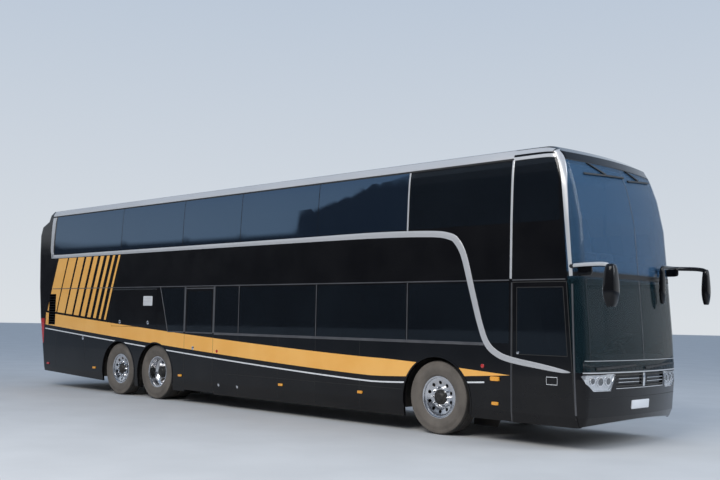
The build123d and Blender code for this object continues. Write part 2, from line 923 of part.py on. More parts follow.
# Stairs: closed steps that rise to the rear on the left
stair_rise = upper_floor_height - lower_floor_height
step_count = 8
with BuildPart() as stairs:
    with BuildSketch(Plane.XZ):
        with BuildLine():
            going = (stair_front - stair_rear) / step_count
            rise = stair_rise / step_count
            path = [(stair_front, lower_floor_height)]
            for step in range(step_count - 1):
                level = lower_floor_height + (step + 1) * rise
                path.append((stair_front - step * going, level))
                path.append((stair_front - (step + 1) * going, level))
            path.append((stair_front - (step_count - 1) * going, upper_floor_height - floor_thickness))
            path.append((stair_rear, upper_floor_height - floor_thickness))
            path.append((stair_rear, upper_floor_height - floor_thickness - rise))
            path.append((stair_front - going, lower_floor_height))
            Polyline(*path, close=True)
        make_face()
    extrude(amount=-stair_outer)
    with Locations(Location(((stair_rear + stair_front) / 2, 0, 0))):
        Box(
            2 * (stair_front - stair_rear), 2 * stair_inner, 2 * body_height, mode=Mode.SUBTRACT,
        )
    add(door_steps.part)
finish(stairs, "stairs")


engine_length = 1300
engine_width = 760
engine_height = 560
engine_rear = station(-11150)
engine_chamfer = 60
with BuildPart() as engine:
    with Locations(Location((engine_rear, 0, high_rail_bottom + cross_depth))):
        Box(engine_length, engine_width, engine_height, align=(Align.MIN, Align.CENTER, Align.MIN))
    chamfer(engine.edges().filter_by(Axis.X), length=engine_chamfer)
finish(engine, "engine")


# Seats: one closed form for cushion and back, repeated along both decks
seat_cushion_height = 420
seat_depth = 480
seat_back_height = 1120
seat_back_thickness = 110
seat_recline = 150
seat_foot = 60
seat_cushion_depth = 130
seat_lip = 10
seat_slope = 30


with BuildSketch() as seat_outline:
    Polygon(
        (-seat_depth + seat_foot, 0), (-seat_foot, 0),
        (-seat_foot, seat_cushion_height - seat_cushion_depth),
        (0, seat_cushion_height - seat_cushion_depth + seat_lip), (0, seat_cushion_height),
        (-seat_depth + seat_back_thickness, seat_cushion_height - seat_slope),
        (-seat_depth + seat_back_thickness - seat_recline, seat_back_height),
        (-seat_depth - seat_recline, seat_back_height),
        (-seat_depth, seat_cushion_height - seat_cushion_depth),
        (-seat_depth + seat_foot, seat_cushion_height - seat_cushion_depth - seat_lip),
        align=None,
    )
seat_plain = seat_outline.sketch


def seat_row(places, level, inner, outer):
    """Seats side by side from inner to outer, one at each place along X."""
    with BuildPart() as row:
        for place in places:
            with BuildSketch(Plane((place, inner, level), x_dir=(1, 0, 0), z_dir=(0, -1, 0))):
                add(seat_plain)
            extrude(amount=inner - outer)
    return row.part


seat_pitch = 860
upper_first = station(1500)
upper_rows = 14
aisle_half = 250
seat_outer = 1190
stair_margin = 50
left_upper = []
right_upper = []
for row in range(upper_rows):
    place = upper_first - row * seat_pitch
    right_upper.append(place)
    behind_stairs = place < stair_rear - stair_margin
    if behind_stairs or place - seat_depth - seat_recline > stair_front + stair_margin:
        left_upper.append(place)

with BuildPart() as upper_seats:
    add(seat_row(right_upper, upper_floor_height, -aisle_half, -seat_outer))
    add(seat_row(left_upper, upper_floor_height, seat_outer, aisle_half))
finish(upper_seats, "upper_seats")

lower_pitch = 950
lower_left_first = stair_rear - 350
lower_left_inner = 670
lower_right_first = station(-1500)
lower_right_inner = 270
driver_place = station(1250)
driver_outer = 900
driver_inner = 380
lower_left = [lower_left_first - row * lower_pitch for row in range(3)]
lower_right = [lower_right_first - row * lower_pitch for row in range(4)]
with BuildPart() as lower_seats:
    add(seat_row(lower_right, lower_floor_height, -lower_right_inner, -seat_outer))
    add(seat_row(lower_left, lower_floor_height, seat_outer, lower_left_inner))
    add(seat_row([driver_place], platform_height, driver_outer, driver_inner))
finish(lower_seats, "lower_seats")


# Driver's place: dashboard below the windscreen, column and wheel
dash_rear = station(1930)
dash_height = 1180
dash_slope = 150
dash_top_depth = 200
dash_face = 180
dash_glass_rise = 60
wheel_rim_radius = 230
wheel_hub_radius = 60
spoke_width = 40
column_radius = 30
column_length = 420
wheel_tube_radius = 16
steer_x = station(1800)
steer_y = 640
steer_height = 1330
column_angle = 35
with BuildPart() as dashboard:
    with BuildSketch(Plane.XZ):
        Polygon(
            (dash_rear + dash_slope, platform_height), (floor_front, platform_height),
            (floor_front, windscreen_low + dash_glass_rise), (dash_rear + dash_top_depth, dash_height),
            (dash_rear, dash_height), (dash_rear, dash_height - dash_face),
            align=None,
        )
    extrude(amount=side_reach, both=True)
    add(cabin_form, mode=Mode.INTERSECT)
    with Locations(Location((front_door_rear, -side_reach, 0))):
        Box(
            reach_over_nose - front_door_rear, side_reach + well_inner, body_height,
            align=(Align.MIN, Align.MIN, Align.MIN), mode=Mode.SUBTRACT,
        )
    wheel_plane = Plane(
        origin=(steer_x, steer_y, steer_height), x_dir=(0, 1, 0),
        z_dir=(-math.sin(math.radians(column_angle)), 0, math.cos(math.radians(column_angle))),
    )
    with BuildSketch(wheel_plane):
        Circle(column_radius)
    extrude(amount=-column_length)
    with BuildSketch(wheel_plane.offset(-wheel_tube_radius)):
        Circle(wheel_rim_radius)
        Circle(wheel_rim_radius - 2 * wheel_tube_radius, mode=Mode.SUBTRACT)
        Rectangle(2 * wheel_rim_radius - wheel_tube_radius, spoke_width)
        Circle(wheel_hub_radius)
    extrude(amount=2 * wheel_tube_radius)
finish(dashboard, "dashboard")


# Mirrors: an arm on each front corner with a housing that hangs from its end,
# and on the left a second small housing at the arm's inner end
arm_width = 46
arm_depth = 60
arm_bend = 120
mirror_corner_share = 0.32
mirror_top_share = 0.62
mirror_waist = 0.62
bracket_low = 2205
bracket_back = 330
mirror_rows = [
    # side, arm's points (ahead of the front axle, distance from the middle), its height,
    # the bracket's place (ahead, distance from the middle), and for each housing:
    # X, Y, low, high, length along X and width
    (
        -1, [(2100, 1230), (2480, 1390), (2840, 1450)], 2325, (2420, 1210),
        [(mirror_reach - 90, 1450, 1810, 2325, 180, 200)],
    ),
    (
        1, [(2470, 660), (2450, 1130), (2740, 1455)], 2405, (2450, 1130),
        [(2740, 1475, 1900, 2405, 110, 150), (2472, 660, 1890, 2405, 76, 120)],
    ),
]


def mirror_set(side, arm_points, arm_height, bracket, housings):
    """Arm, bracket and housings of one front corner."""
    bracket_place = (station(bracket[0]), side * bracket[1], bracket_low)
    with BuildPart() as piece:
        with Locations(Location(bracket_place)):
            Box(
                bracket_back, arm_width, arm_height - bracket_low,
                align=(Align.MAX, Align.CENTER, Align.MIN),
            )
        with BuildSketch(Plane.XY.offset(arm_height - arm_depth / 2)):
            with BuildLine():
                arm_line = FilletPolyline(
                    *[(station(ahead), side * reach) for ahead, reach in arm_points],
                    radius=arm_bend,
                )
                offset(arm_line, amount=arm_width / 2, side=Side.BOTH)
            make_face()
        extrude(amount=arm_depth)
        for ahead, reach, low, high, length, width in housings:
            for level, share in (
                (low, mirror_waist), (low + (high - low) / 3, 1), (high, mirror_top_share),
            ):
                with BuildSketch(Plane.XY.offset(level)):
                    corner = mirror_corner_share * length * share
                    with Locations((station(ahead), side * reach)):
                        RectangleRounded(length * share, width * share, corner)
            loft(ruled=True)
        add(outer_form, mode=Mode.SUBTRACT)
    return piece.part


with BuildPart() as mirrors:
    for row in mirror_rows:
        add(mirror_set(*row))
finish(mirrors, "mirrors")


# Wipers: bars that lie on the glass, two below and two hung from under the brow
wiper_thickness = 18
wiper_form = envelope(-wiper_thickness)
wiper_outlines = [
    # corners of each bar: distance from the middle, height
    [(-1050, 1015), (-200, 1060), (-200, 1085), (-1050, 1045)],
    [(60, 1015), (910, 1060), (910, 1085), (60, 1045)],
    [(-760, 3725), (-725, 3725), (-395, 3612), (-415, 3590)],
    [(-900, 3578), (-895, 3556), (60, 3600), (60, 3622)],
    [(180, 3725), (215, 3725), (545, 3642), (525, 3620)],
    [(160, 3588), (165, 3566), (960, 3640), (955, 3662)],
]
with BuildPart() as wipers:
    with BuildSketch(Plane.YZ.offset(nose_start_x)):
        for corners in wiper_outlines:
            Polygon(*corners, align=None)
    extrude(amount=reach_over_nose - nose_start_x)
    add(wiper_form, mode=Mode.INTERSECT)
    add(outer_form, mode=Mode.SUBTRACT)
finish(wipers, "wipers")


# Axles
hub_height = tyre_radius
boss_radius = 48
boss_half = 70
ear_height = 40
web_inner = 56
web_outer = 84
spindle_margin = 20
bellows_radius = 85


def bellows(places, bottom, top):
    """Air springs that stand between an axle and the rails."""
    with BuildPart() as group:
        with BuildSketch(Plane.XY.offset(bottom)):
            for place in places:
                for side in (-1, 1):
                    with Locations((place, side * (rail_inner + rail_width / 2))):
                        Circle(bellows_radius)
        extrude(amount=top - bottom)
    return group.part


beam_half_width = 60
beam_height = 100
beam_bottom = 400
beam_end = 90
beam_slope = 240
beam_top_slope = 200
seat_length = 360
seat_plate = 60
seat_rise = 20
fork_room = 400
with BuildPart() as front_axle:
    with BuildSketch(Plane.YZ.offset(front_axle_x - beam_half_width)):
        with BuildLine():
            Polyline(
                (-kingpin_y, hub_height - boss_half),
                (-kingpin_y + beam_end, hub_height - boss_half),
                (-kingpin_y + beam_slope, beam_bottom), (kingpin_y - beam_slope, beam_bottom),
                (kingpin_y - beam_end, hub_height - boss_half), (kingpin_y, hub_height - boss_half),
                (kingpin_y, hub_height + boss_half - seat_rise),
                (kingpin_y - beam_top_slope, beam_bottom + beam_height),
                (-kingpin_y + beam_top_slope, beam_bottom + beam_height),
                (-kingpin_y, hub_height + boss_half - seat_rise), close=True,
            )
        make_face()
    extrude(amount=2 * beam_half_width)
    with BuildSketch(Plane.XY.offset(hub_height - boss_half)):
        for side in (-1, 1):
            with Locations((front_axle_x, side * kingpin_y)):
                Circle(boss_radius)
    extrude(amount=2 * boss_half)
    with Locations(Location((front_axle_x, 0, beam_bottom + seat_rise))):
        Box(
            2 * seat_length, 2 * (rail_inner + rail_width), seat_plate,
            align=(Align.CENTER, Align.CENTER, Align.MIN),
        )
    for side in (-1, 1):
        fork_middle = side * (kingpin_y + boss_radius + fork_room / 4)
        with Locations(Location((front_axle_x, fork_middle, hub_height))):
            Box(fork_room, fork_room / 2, fork_room, mode=Mode.SUBTRACT)
    with BuildSketch(Plane.XY.offset(hub_height - 2 * boss_half)):
        for side in (-1, 1):
            with Locations((front_axle_x, side * kingpin_y)):
                Circle(kingpin_radius + seat_clearance)
    extrude(amount=4 * boss_half, mode=Mode.SUBTRACT)
    add(bellows(
        [front_axle_x - seat_length + bellows_radius, front_axle_x + seat_length - bellows_radius],
        beam_bottom + seat_rise + seat_plate, high_rail_bottom - front_rail_drop,
    ))
finish(front_axle, "front_axle")

tube_radius = 75
banjo_radius = 190
banjo_width = 240
rear_spindle_y = 640


def rear_axle(axle_x, with_banjo):
    """Axle tube with its spindles, seats and air springs."""
    with BuildPart() as axle:
        with BuildSketch(Plane.XZ):
            with Locations((axle_x, hub_height)):
                Circle(tube_radius)
        extrude(amount=rear_spindle_y, both=True)
        with BuildSketch(Plane.XZ):
            with Locations((axle_x, hub_height)):
                Circle(spindle_radius)
        extrude(amount=wheel_track_y + spindle_margin, both=True)
        if with_banjo:
            with BuildSketch(Plane.XZ):
                with Locations((axle_x, hub_height)):
                    Circle(banjo_radius)
            extrude(amount=banjo_width / 2, both=True)
        with Locations(Location((axle_x, 0, hub_height - tube_radius))):
            Box(
                2 * seat_length, 2 * (rail_inner + rail_width), seat_plate,
                align=(Align.CENTER, Align.CENTER, Align.MIN),
            )
        add(bellows(
            [axle_x - seat_length + bellows_radius, axle_x + seat_length - bellows_radius],
            hub_height - tube_radius + seat_plate, high_rail_bottom,
        ))
    return axle.part


with BuildPart() as drive_axle:
    add(rear_axle(drive_axle_x, True))
finish(drive_axle, "drive_axle")

with BuildPart() as tag_axle:
    add(rear_axle(tag_axle_x, False))
finish(tag_axle, "tag_axle")


# Steering knuckles: ears round the axle's boss, kingpin, web and spindle
def knuckle(side):
    """The knuckle of one front wheel."""
    with BuildPart() as piece:
        ear_low = boss_half + seat_clearance
        for level in (hub_height - ear_low - ear_height, hub_height + ear_low):
            with BuildSketch(Plane.XY.offset(level)):
                with Locations((front_axle_x, side * kingpin_y)):
                    Circle(boss_radius)
                with Locations((front_axle_x, side * (kingpin_y + web_outer / 2))):
                    Rectangle(2 * boss_radius, web_outer)
            extrude(amount=ear_height)
        with BuildSketch(Plane.XY.offset(hub_height - ear_low - ear_height)):
            with Locations((front_axle_x, side * kingpin_y)):
                Circle(kingpin_radius)
            with Locations((front_axle_x, side * (kingpin_y + (web_inner + web_outer) / 2))):
                Rectangle(2 * boss_radius, web_outer - web_inner)
        extrude(amount=2 * (ear_low + ear_height))
        with BuildSketch(Plane.XZ.offset(-side * (kingpin_y + web_inner))):
            with Locations((front_axle_x, hub_height)):
                Circle(spindle_radius)
        extrude(amount=-side * (wheel_track_y + spindle_margin - kingpin_y - web_inner))
    return piece.part


with BuildPart() as knuckle_left:
    add(knuckle(1))
finish(knuckle_left, "knuckle_left")

with BuildPart() as knuckle_right:
    add(knuckle(-1))
finish(knuckle_right, "knuckle_right")


# Wheels, turned about the axle line
rim_half = 115
flange_height = 16
flange_width = 10
barrel_thickness = 14
disc_thickness = 14
hub_radius = 120
cap_radius = 85
hole_circle_radius = 205
hole_radius = 28
hole_count = 10
cap_depth = 60
disc_flat_radius = 232
attach_inset = 25


def rim_profile(centre, disc_y):
    """Half section of a rim: X is the distance from the middle, Y the radius."""
    barrel_inner = rim_radius - barrel_thickness
    lip = rim_radius + flange_height
    bore = spindle_radius + seat_clearance
    outward = 1 if disc_y > centre else -1
    attach_y = centre + outward * (rim_half - attach_inset)
    with BuildSketch() as profile:
        Polygon(
            (centre - rim_half, lip), (centre - rim_half, barrel_inner),
            (centre + rim_half, barrel_inner), (centre + rim_half, lip),
            (centre + rim_half - flange_width, lip), (centre + rim_half - flange_width, rim_radius),
            (centre - rim_half + flange_width, rim_radius), (centre - rim_half + flange_width, lip),
            align=None,
        )
        Polygon(
            (disc_y - disc_thickness, bore), (disc_y, bore), (disc_y, disc_flat_radius),
            (attach_y + disc_thickness / 2, barrel_inner + 1),
            (attach_y - disc_thickness / 2, barrel_inner + 1),
            (disc_y - disc_thickness, disc_flat_radius),
            align=None,
        )
    return profile.sketch


def rim(centres, disc_y, hub_low, hub_high):
    """A left rim on the Y axis with disc, hand holes and hub, or a twin pair."""
    with BuildPart() as wheel:
        for centre in centres:
            with BuildSketch(Plane.YZ):
                add(rim_profile(centre, disc_y if centre == centres[0] else disc_y - disc_thickness))
            revolve(axis=Axis.Y)
        with BuildSketch(Plane.XZ.offset(-hub_high)):
            Circle(hub_radius)
            Circle(spindle_radius + seat_clearance, mode=Mode.SUBTRACT)
        extrude(amount=hub_high - hub_low)
        with BuildSketch(Plane.XZ.offset(-hub_high - cap_depth / 3)):
            Circle(cap_radius)
        extrude(amount=cap_depth)
        with BuildSketch(Plane.XZ.offset(-disc_y - disc_thickness)):
            with PolarLocations(hole_circle_radius, hole_count):
                Circle(hole_radius)
        extrude(amount=4 * disc_thickness, mode=Mode.SUBTRACT)
    return wheel.part


tyre_half = tyre_width / 2
tread_half = 125
bulge_rise = 110
shoulder_height = 60
shoulder_inset = 8
bead_half = rim_half - flange_width


def tyre(centres):
    """A left tyre on the Y axis, or a twin pair."""
    with BuildPart() as ring:
        for centre in centres:
            with BuildSketch(Plane.YZ):
                Polygon(
                    (centre - bead_half, rim_radius), (centre + bead_half, rim_radius),
                    (centre + bead_half, rim_radius + flange_height + 1),
                    (centre + tyre_half, rim_radius + bulge_rise),
                    (centre + tyre_half - shoulder_inset, tyre_radius - shoulder_height),
                    (centre + tread_half, tyre_radius),
                    (centre - tread_half, tyre_radius),
                    (centre - tyre_half + shoulder_inset, tyre_radius - shoulder_height),
                    (centre - tyre_half, rim_radius + bulge_rise),
                    (centre - bead_half, rim_radius + flange_height + 1),
                    align=None,
                )
            revolve(axis=Axis.Y)
    return ring.part


def place_wheel(piece, axle_x, side):
    """Put a left wheel piece on its axle, mirrored for the right side."""
    placed = piece if side > 0 else piece.mirror(Plane.XZ)
    return placed.moved(Location((axle_x, 0, hub_height)))


front_disc_y = wheel_track_y + 85
drive_disc_y = wheel_track_y - twin_spacing / 2
front_hub = (970, wheel_track_y + 100)
drive_hub = (rear_spindle_y + 20, wheel_track_y + 60)
tag_hub = (900, wheel_track_y + 100)
twin_centres = [wheel_track_y, wheel_track_y - twin_spacing]
wheel_rows = [
    # name, axle X, centres, disc Y, hub
    ("front", front_axle_x, [wheel_track_y], front_disc_y, front_hub),
    ("drive", drive_axle_x, twin_centres, drive_disc_y, drive_hub),
    ("tag", tag_axle_x, [wheel_track_y], front_disc_y, tag_hub),
]
for name, axle_x, centres, disc_y, hub in wheel_rows:
    rim_form = rim(centres, disc_y, *hub)
    tyre_form = tyre(centres)
    for side, word in ((1, "left"), (-1, "right")):
        with BuildPart() as rim_piece:
            add(place_wheel(rim_form, axle_x, side))
        finish(rim_piece, f"rim_{name}_{word}")
        with BuildPart() as tyre_piece:
            add(place_wheel(tyre_form, axle_x, side))
        finish(tyre_piece, f"tyre_{name}_{word}")
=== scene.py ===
import math
from functools import partial

import bmesh
import bpy
from mathutils import Matrix, Vector
from mathutils.geometry import delaunay_2d_cdt


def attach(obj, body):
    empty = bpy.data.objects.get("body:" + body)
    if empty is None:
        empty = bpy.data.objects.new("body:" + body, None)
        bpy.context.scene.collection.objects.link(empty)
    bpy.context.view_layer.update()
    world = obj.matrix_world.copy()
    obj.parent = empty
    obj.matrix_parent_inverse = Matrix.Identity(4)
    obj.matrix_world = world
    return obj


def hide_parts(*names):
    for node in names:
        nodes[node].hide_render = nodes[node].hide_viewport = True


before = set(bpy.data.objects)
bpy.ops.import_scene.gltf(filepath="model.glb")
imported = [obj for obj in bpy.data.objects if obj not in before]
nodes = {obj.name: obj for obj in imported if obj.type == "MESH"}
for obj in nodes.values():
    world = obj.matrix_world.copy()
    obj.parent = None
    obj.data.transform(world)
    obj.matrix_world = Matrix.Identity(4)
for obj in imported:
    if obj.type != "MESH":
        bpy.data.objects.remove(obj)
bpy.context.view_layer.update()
scene = bpy.context.scene

# Overall sizes in metres, as in the part's source
FRONT_AXLE = 4.515
WHEELBASE = 7.0
TANDEM = 1.3
HALF_WIDTH = 1.275
NOSE_REACH = 2.512
TAIL_REACH = 11.97
NOSE_RADIUS = 6.0
TAIL_RADIUS = 16.0
HUB_HEIGHT = 0.522
AXLES = {"front": FRONT_AXLE, "drive": FRONT_AXLE - WHEELBASE, "tag": FRONT_AXLE - WHEELBASE - TANDEM}
ARCH_CENTRE = 0.48
ARCH_RADII = {"front": 0.61, "drive": 0.59, "tag": 0.59}
PANEL_GAP = 0.006
RIGHT = -1
LEFT = 1

# Body outline: height, side, nose and tail set-backs, nose and tail corner radii
OUTLINES = [
    (0.21, 0.04, 0.13, 0.12, 0.53, 0.1),
    (0.42, 0.008, 0.04, 0.15, 0.48, 0.12),
    (0.9, 0.0, 0.0, 0.165, 0.37, 0.14),
    (1.5, 0.0, 0.027, 0.165, 0.215, 0.15),
    (2.2, 0.0, 0.08, 0.165, 0.11, 0.15),
    (2.95, 0.012, 0.14, 0.16, 0.035, 0.15),
    (3.4, 0.028, 0.237, 0.15, 0.0, 0.15),
    (3.59, 0.04, 0.306, 0.145, 0.06, 0.15),
    (3.7, 0.05, 0.35, 0.14, 0.33, 0.13),
    (3.85, 0.078, 0.43, 0.13, 0.37, 0.13),
    (3.93, 0.125, 0.57, 0.11, 0.44, 0.12),
    (3.975, 0.29, 0.9, 0.1, 0.7, 0.1),
]


def st(ahead):
    """X of a place that lies this far ahead of the front axle."""
    return FRONT_AXLE + ahead


def between(rows, place):
    """Values of a table at a place among its rows, whose first numbers rise."""
    place = min(max(place, rows[0][0]), rows[-1][0])
    for low, high in zip(rows, rows[1:]):
        if place <= high[0]:
            share = (place - low[0]) / (high[0] - low[0])
            return [a + share * (b - a) for a, b in zip(low[1:], high[1:])]


def plan_end(forward, z):
    """Nose (forward 1) or tail (-1) at a height: radius and centre of its bow and of its corner."""
    side_back, nose_back, nose_corner, tail_back, tail_corner = between(OUTLINES, z)
    if forward > 0:
        edge_x, bow, corner = st(NOSE_REACH - nose_back), NOSE_RADIUS, nose_corner
    else:
        edge_x, bow, corner = st(tail_back - TAIL_REACH), TAIL_RADIUS, tail_corner
    bow_x = edge_x - forward * bow
    centre_y = HALF_WIDTH - side_back - corner
    centre_x = bow_x + forward * math.sqrt((bow - corner) ** 2 - centre_y**2)
    return bow, bow_x, corner, centre_x, centre_y


def on_side(side, x, z, out=0.0):
    """Point on a side of the body, moved outwards by out."""
    y = HALF_WIDTH - between(OUTLINES, z)[0] + out
    for forward in (1, -1):
        _, _, corner, centre_x, centre_y = plan_end(forward, z)
        if forward * (x - centre_x) > 0:
            y = centre_y + math.sqrt(max((corner + out) ** 2 - (x - centre_x) ** 2, 0))
    return Vector((x, side * y, z))


def on_end(forward, y, z, out=0.0):
    """Point on the nose or the tail, moved outwards by out."""
    bow, bow_x, corner, centre_x, centre_y = plan_end(forward, z)
    reach = abs(y)
    if reach <= centre_y * bow / (bow - corner):
        x = bow_x + forward * math.sqrt((bow + out) ** 2 - reach**2)
    else:
        reach = min(reach, HALF_WIDTH - between(OUTLINES, z)[0] + out)
        x = centre_x + forward * math.sqrt(max((corner + out) ** 2 - (reach - centre_y) ** 2, 0))
    return Vector((x, y, z))


def post_x(height):
    """X of the leaning line where the side ends and the nose begins."""
    return st(2.299 - 0.0733 * height)


nose = partial(on_end, 1)
tail = partial(on_end, -1)
SIDES = ((RIGHT, "right", partial(on_side, RIGHT)), (LEFT, "left", partial(on_side, LEFT)))


# Materials


def feed(tree, node, sockets):
    """Give a node's sockets their values, or another node's output."""
    for name, value in sockets.items():
        socket = node.inputs[name.replace("_", " ") if isinstance(name, str) else name]
        if isinstance(value, bpy.types.NodeSocket):
            tree.links.new(value, socket)
        else:
            socket.default_value = value
    return node


def add_node(tree, kind, **sockets):
    return feed(tree, tree.nodes.new(f"ShaderNode{kind}"), sockets)


def map_range(tree, value, low, high, first=0.0, last=1.0):
    """A number that goes from first to last while another goes from low to high."""
    node = add_node(
        tree, "MapRange", Value=value, From_Min=low, From_Max=high, To_Min=first, To_Max=last,
    )
    return node.outputs["Result"]


def combined(tree, operation, first, second):
    """Two numbers joined by an operation."""
    node = tree.nodes.new("ShaderNodeMath")
    node.operation = operation
    return feed(tree, node, {0: first, 1: second}).outputs["Value"]


def mixed(tree, share, first, second):
    """A colour between two."""
    node = tree.nodes.new("ShaderNodeMix")
    node.data_type = "RGBA"
    return feed(tree, node, {"Factor": share, "A": first, "B": second}).outputs["Result"]


def ramp_colour(tree, share, stops):
    """A colour from stops, each a position and a colour."""
    node = add_node(tree, "ValToRGB", Fac=share)
    elements = node.color_ramp.elements
    while len(elements) < len(stops):
        elements.new(1.0)
    for element, (position, colour) in zip(elements, stops):
        element.position = position
        element.color = (*colour, 1)
    return node.outputs["Color"]


def noise(tree, vector, scale, detail):
    return add_node(tree, "TexNoise", Vector=vector, Scale=scale, Detail=detail).outputs["Fac"]


def surface(name, colour, roughness, second, scale, spread=0.08, bump=0.0, bump_scale=200.0,
            dust_and_painted_reflection=None, **sockets):
    """A node material whose colour, roughness and relief vary over the surface. A colour laid on by
    height is a colour, two heights, and how much of the colour there is at each of them: road dust
    on the black paint, and a painted sky reflection on the upper windscreen."""
    made = bpy.data.materials.new(name)
    made.use_nodes = True
    tree = made.node_tree
    place = add_node(tree, "TexCoord").outputs["Object"]
    patches = noise(tree, place, scale, 6)
    shade = ramp_colour(tree, patches, [(0.35, colour), (0.65, second)])
    if dust_and_painted_reflection:
        other, low, high, first, last = dust_and_painted_reflection
        height = add_node(tree, "SeparateXYZ", Vector=place).outputs["Z"]
        share = map_range(tree, height, low, high, first, last)
        if last < first:
            # Dust thins upwards and lies in patches
            share = combined(tree, "MULTIPLY", share, patches)
        # Lays on the road dust, and on the upper windscreen a painted sky reflection
        shade = mixed(tree, share, shade, (*other, 1))
    rough = map_range(
        tree, noise(tree, place, scale * 3, 4), 0.3, 0.7,
        max(roughness - spread, 0.0), roughness + spread,
    )
    shader = tree.nodes["Principled BSDF"]
    feed(tree, shader, {"Base Color": shade, "Roughness": rough, **sockets})
    if bump:
        relief = noise(tree, place, bump_scale, 3)
        node = add_node(tree, "Bump", Strength=bump, Distance=0.001, Height=relief)
        tree.links.new(node.outputs["Normal"], shader.inputs["Normal"])
    return made


ROAD_DUST = (0.16, 0.13, 0.1)
M = {
    # name, colour, roughness, other colour, scale of the patches, spread of the roughness,
    # relief, scale of the relief, and the shader's own sockets
    "black": surface(
        "gloss_black_paint", (0.004, 0.004, 0.005), 0.16, (0.007, 0.007, 0.008), 1.5, 0.05, 0.02,
        45, dust_and_painted_reflection=(ROAD_DUST, 0.15, 1.1, 0.05, 0.0), Coat_Weight=1.0, Coat_Roughness=0.03,
        Coat_IOR=1.27, Specular_IOR_Level=0.08),
    "satin_black": surface(
        "satin_black_paint", (0.004, 0.004, 0.005), 0.35, (0.007, 0.007, 0.008), 3.0, 0.06, 0.02,
        60, Specular_IOR_Level=0.3),
    "gold": surface(
        "gold_paint", (0.96, 0.47, 0.09), 0.34, (1.0, 0.52, 0.12), 2.0, 0.06, 0.02, 60,
        Coat_Weight=0.5, Coat_Roughness=0.06),
    "silver": surface(
        "silver_paint", (0.55, 0.55, 0.56), 0.34, (0.59, 0.59, 0.6), 0.7, 0.03, Metallic=0.35,
        Coat_Weight=0.4, Coat_Roughness=0.08),
    "grey_trim": surface(
        "grey_trim", (0.095, 0.095, 0.102), 0.35, (0.125, 0.125, 0.133), 4.0, Metallic=0.4),
    "white": surface("white_film", (0.75, 0.76, 0.78), 0.35, (0.8, 0.8, 0.81), 4.0),
    "rubber": surface(
        "black_rubber", (0.012, 0.012, 0.012), 0.75, (0.02, 0.019, 0.018), 9.0, 0.1, 0.2, 350),
    "chrome": surface("chrome", (0.72, 0.72, 0.73), 0.08, (0.78, 0.78, 0.79), 5.0, 0.05, Metallic=1.0),
    "dark_metal": surface(
        "dark_metal", (0.035, 0.034, 0.033), 0.5, (0.06, 0.055, 0.05), 7.0, 0.12, 0.25, 120,
        Metallic=0.5),
    "amber": surface(
        "amber_lens", (0.85, 0.33, 0.02), 0.15, (0.95, 0.42, 0.03), 30.0, 0.05, 0.3, 400,
        Coat_Weight=0.8, Coat_Roughness=0.05),
    "red": surface(
        "red_lens", (0.45, 0.01, 0.012), 0.15, (0.6, 0.018, 0.016), 30.0, 0.05, 0.3, 400,
        Coat_Weight=0.8, Coat_Roughness=0.05),
    "side_glass": surface(
        "side_glass", (0.004, 0.006, 0.009), 0.03, (0.006, 0.009, 0.013), 0.8, 0.02, 0.012, 3,
        Alpha=0.86, IOR=1.48),
    "sun_glass": surface(
        "sun_glass", (0.004, 0.006, 0.01), 0.03, (0.006, 0.009, 0.014), 0.8, 0.02, 0.012, 3,
        Alpha=0.93, IOR=2.6, Specular_Tint=(0.4, 0.66, 1.0, 1.0)),
    # The upper windscreen's blue, rising from 2.15 m to full at 2.32 m, is a painted sky reflection
    "windscreen": surface(
        "windscreen_glass", (0.01, 0.028, 0.036), 0.03, (0.013, 0.034, 0.044), 0.8, 0.02,
        dust_and_painted_reflection=((0.07, 0.16, 0.29), 2.15, 2.32, 0.0, 1.0), Alpha=0.42, IOR=1.42),
    "lamp_silver": surface(
        "lamp_reflector", (0.7, 0.71, 0.73), 0.12, (0.78, 0.79, 0.8), 9.0, 0.05, 0.15, 140,
        Metallic=0.85),
    "mirror_glass": surface(
        "mirror_glass", (0.74, 0.76, 0.78), 0.03, (0.78, 0.8, 0.81), 2.0, 0.02, Metallic=1.0),
    "clear": surface(
        "clear_lens", (0.8, 0.82, 0.85), 0.03, (0.82, 0.84, 0.87), 2.0, 0.02, Alpha=0.16,
        IOR=1.5),
    "polished": surface(
        "polished_alloy", (0.62, 0.62, 0.64), 0.2, (0.72, 0.72, 0.73), 14.0, 0.09, 0.08, 90,
        Metallic=1.0),
    "tyre": surface(
        "tyre_rubber", (0.03, 0.028, 0.026), 0.82, (0.055, 0.048, 0.042), 5.0, 0.1, 0.35, 220),
    "sidewall": surface(
        "dusty_sidewall", (0.115, 0.1, 0.086), 0.85, (0.165, 0.143, 0.122), 4.0, 0.1, 0.3, 160),
    "plastic": surface(
        "moulded_black_plastic", (0.016, 0.016, 0.017), 0.5, (0.024, 0.024, 0.025), 8.0, 0.1,
        0.3, 260),
    "fabric": surface(
        "seat_fabric", (0.035, 0.03, 0.045), 0.9, (0.07, 0.055, 0.06), 40.0, 0.08, 0.6, 600,
        Sheen_Weight=0.4),
    "leather": surface(
        "headrest_leather", (0.02, 0.018, 0.017), 0.5, (0.03, 0.027, 0.025), 20.0, 0.08, 0.4,
        420),
    "floor": surface("floor_covering", (0.045, 0.045, 0.05), 0.7, (0.07, 0.068, 0.07), 18.0),
    "iron": surface(
        "cast_iron", (0.04, 0.037, 0.034), 0.7, (0.085, 0.072, 0.06), 8.0, 0.12, 0.5, 90,
        Metallic=0.3),
    "steel": surface(
        "dusty_steel", (0.022, 0.021, 0.02), 0.65, (0.048, 0.042, 0.036), 6.0, 0.12, 0.3, 120),
    "dash": surface(
        "dash_plastic", (0.04, 0.04, 0.044), 0.6, (0.055, 0.055, 0.06), 12.0, 0.1, 0.4, 300),
}

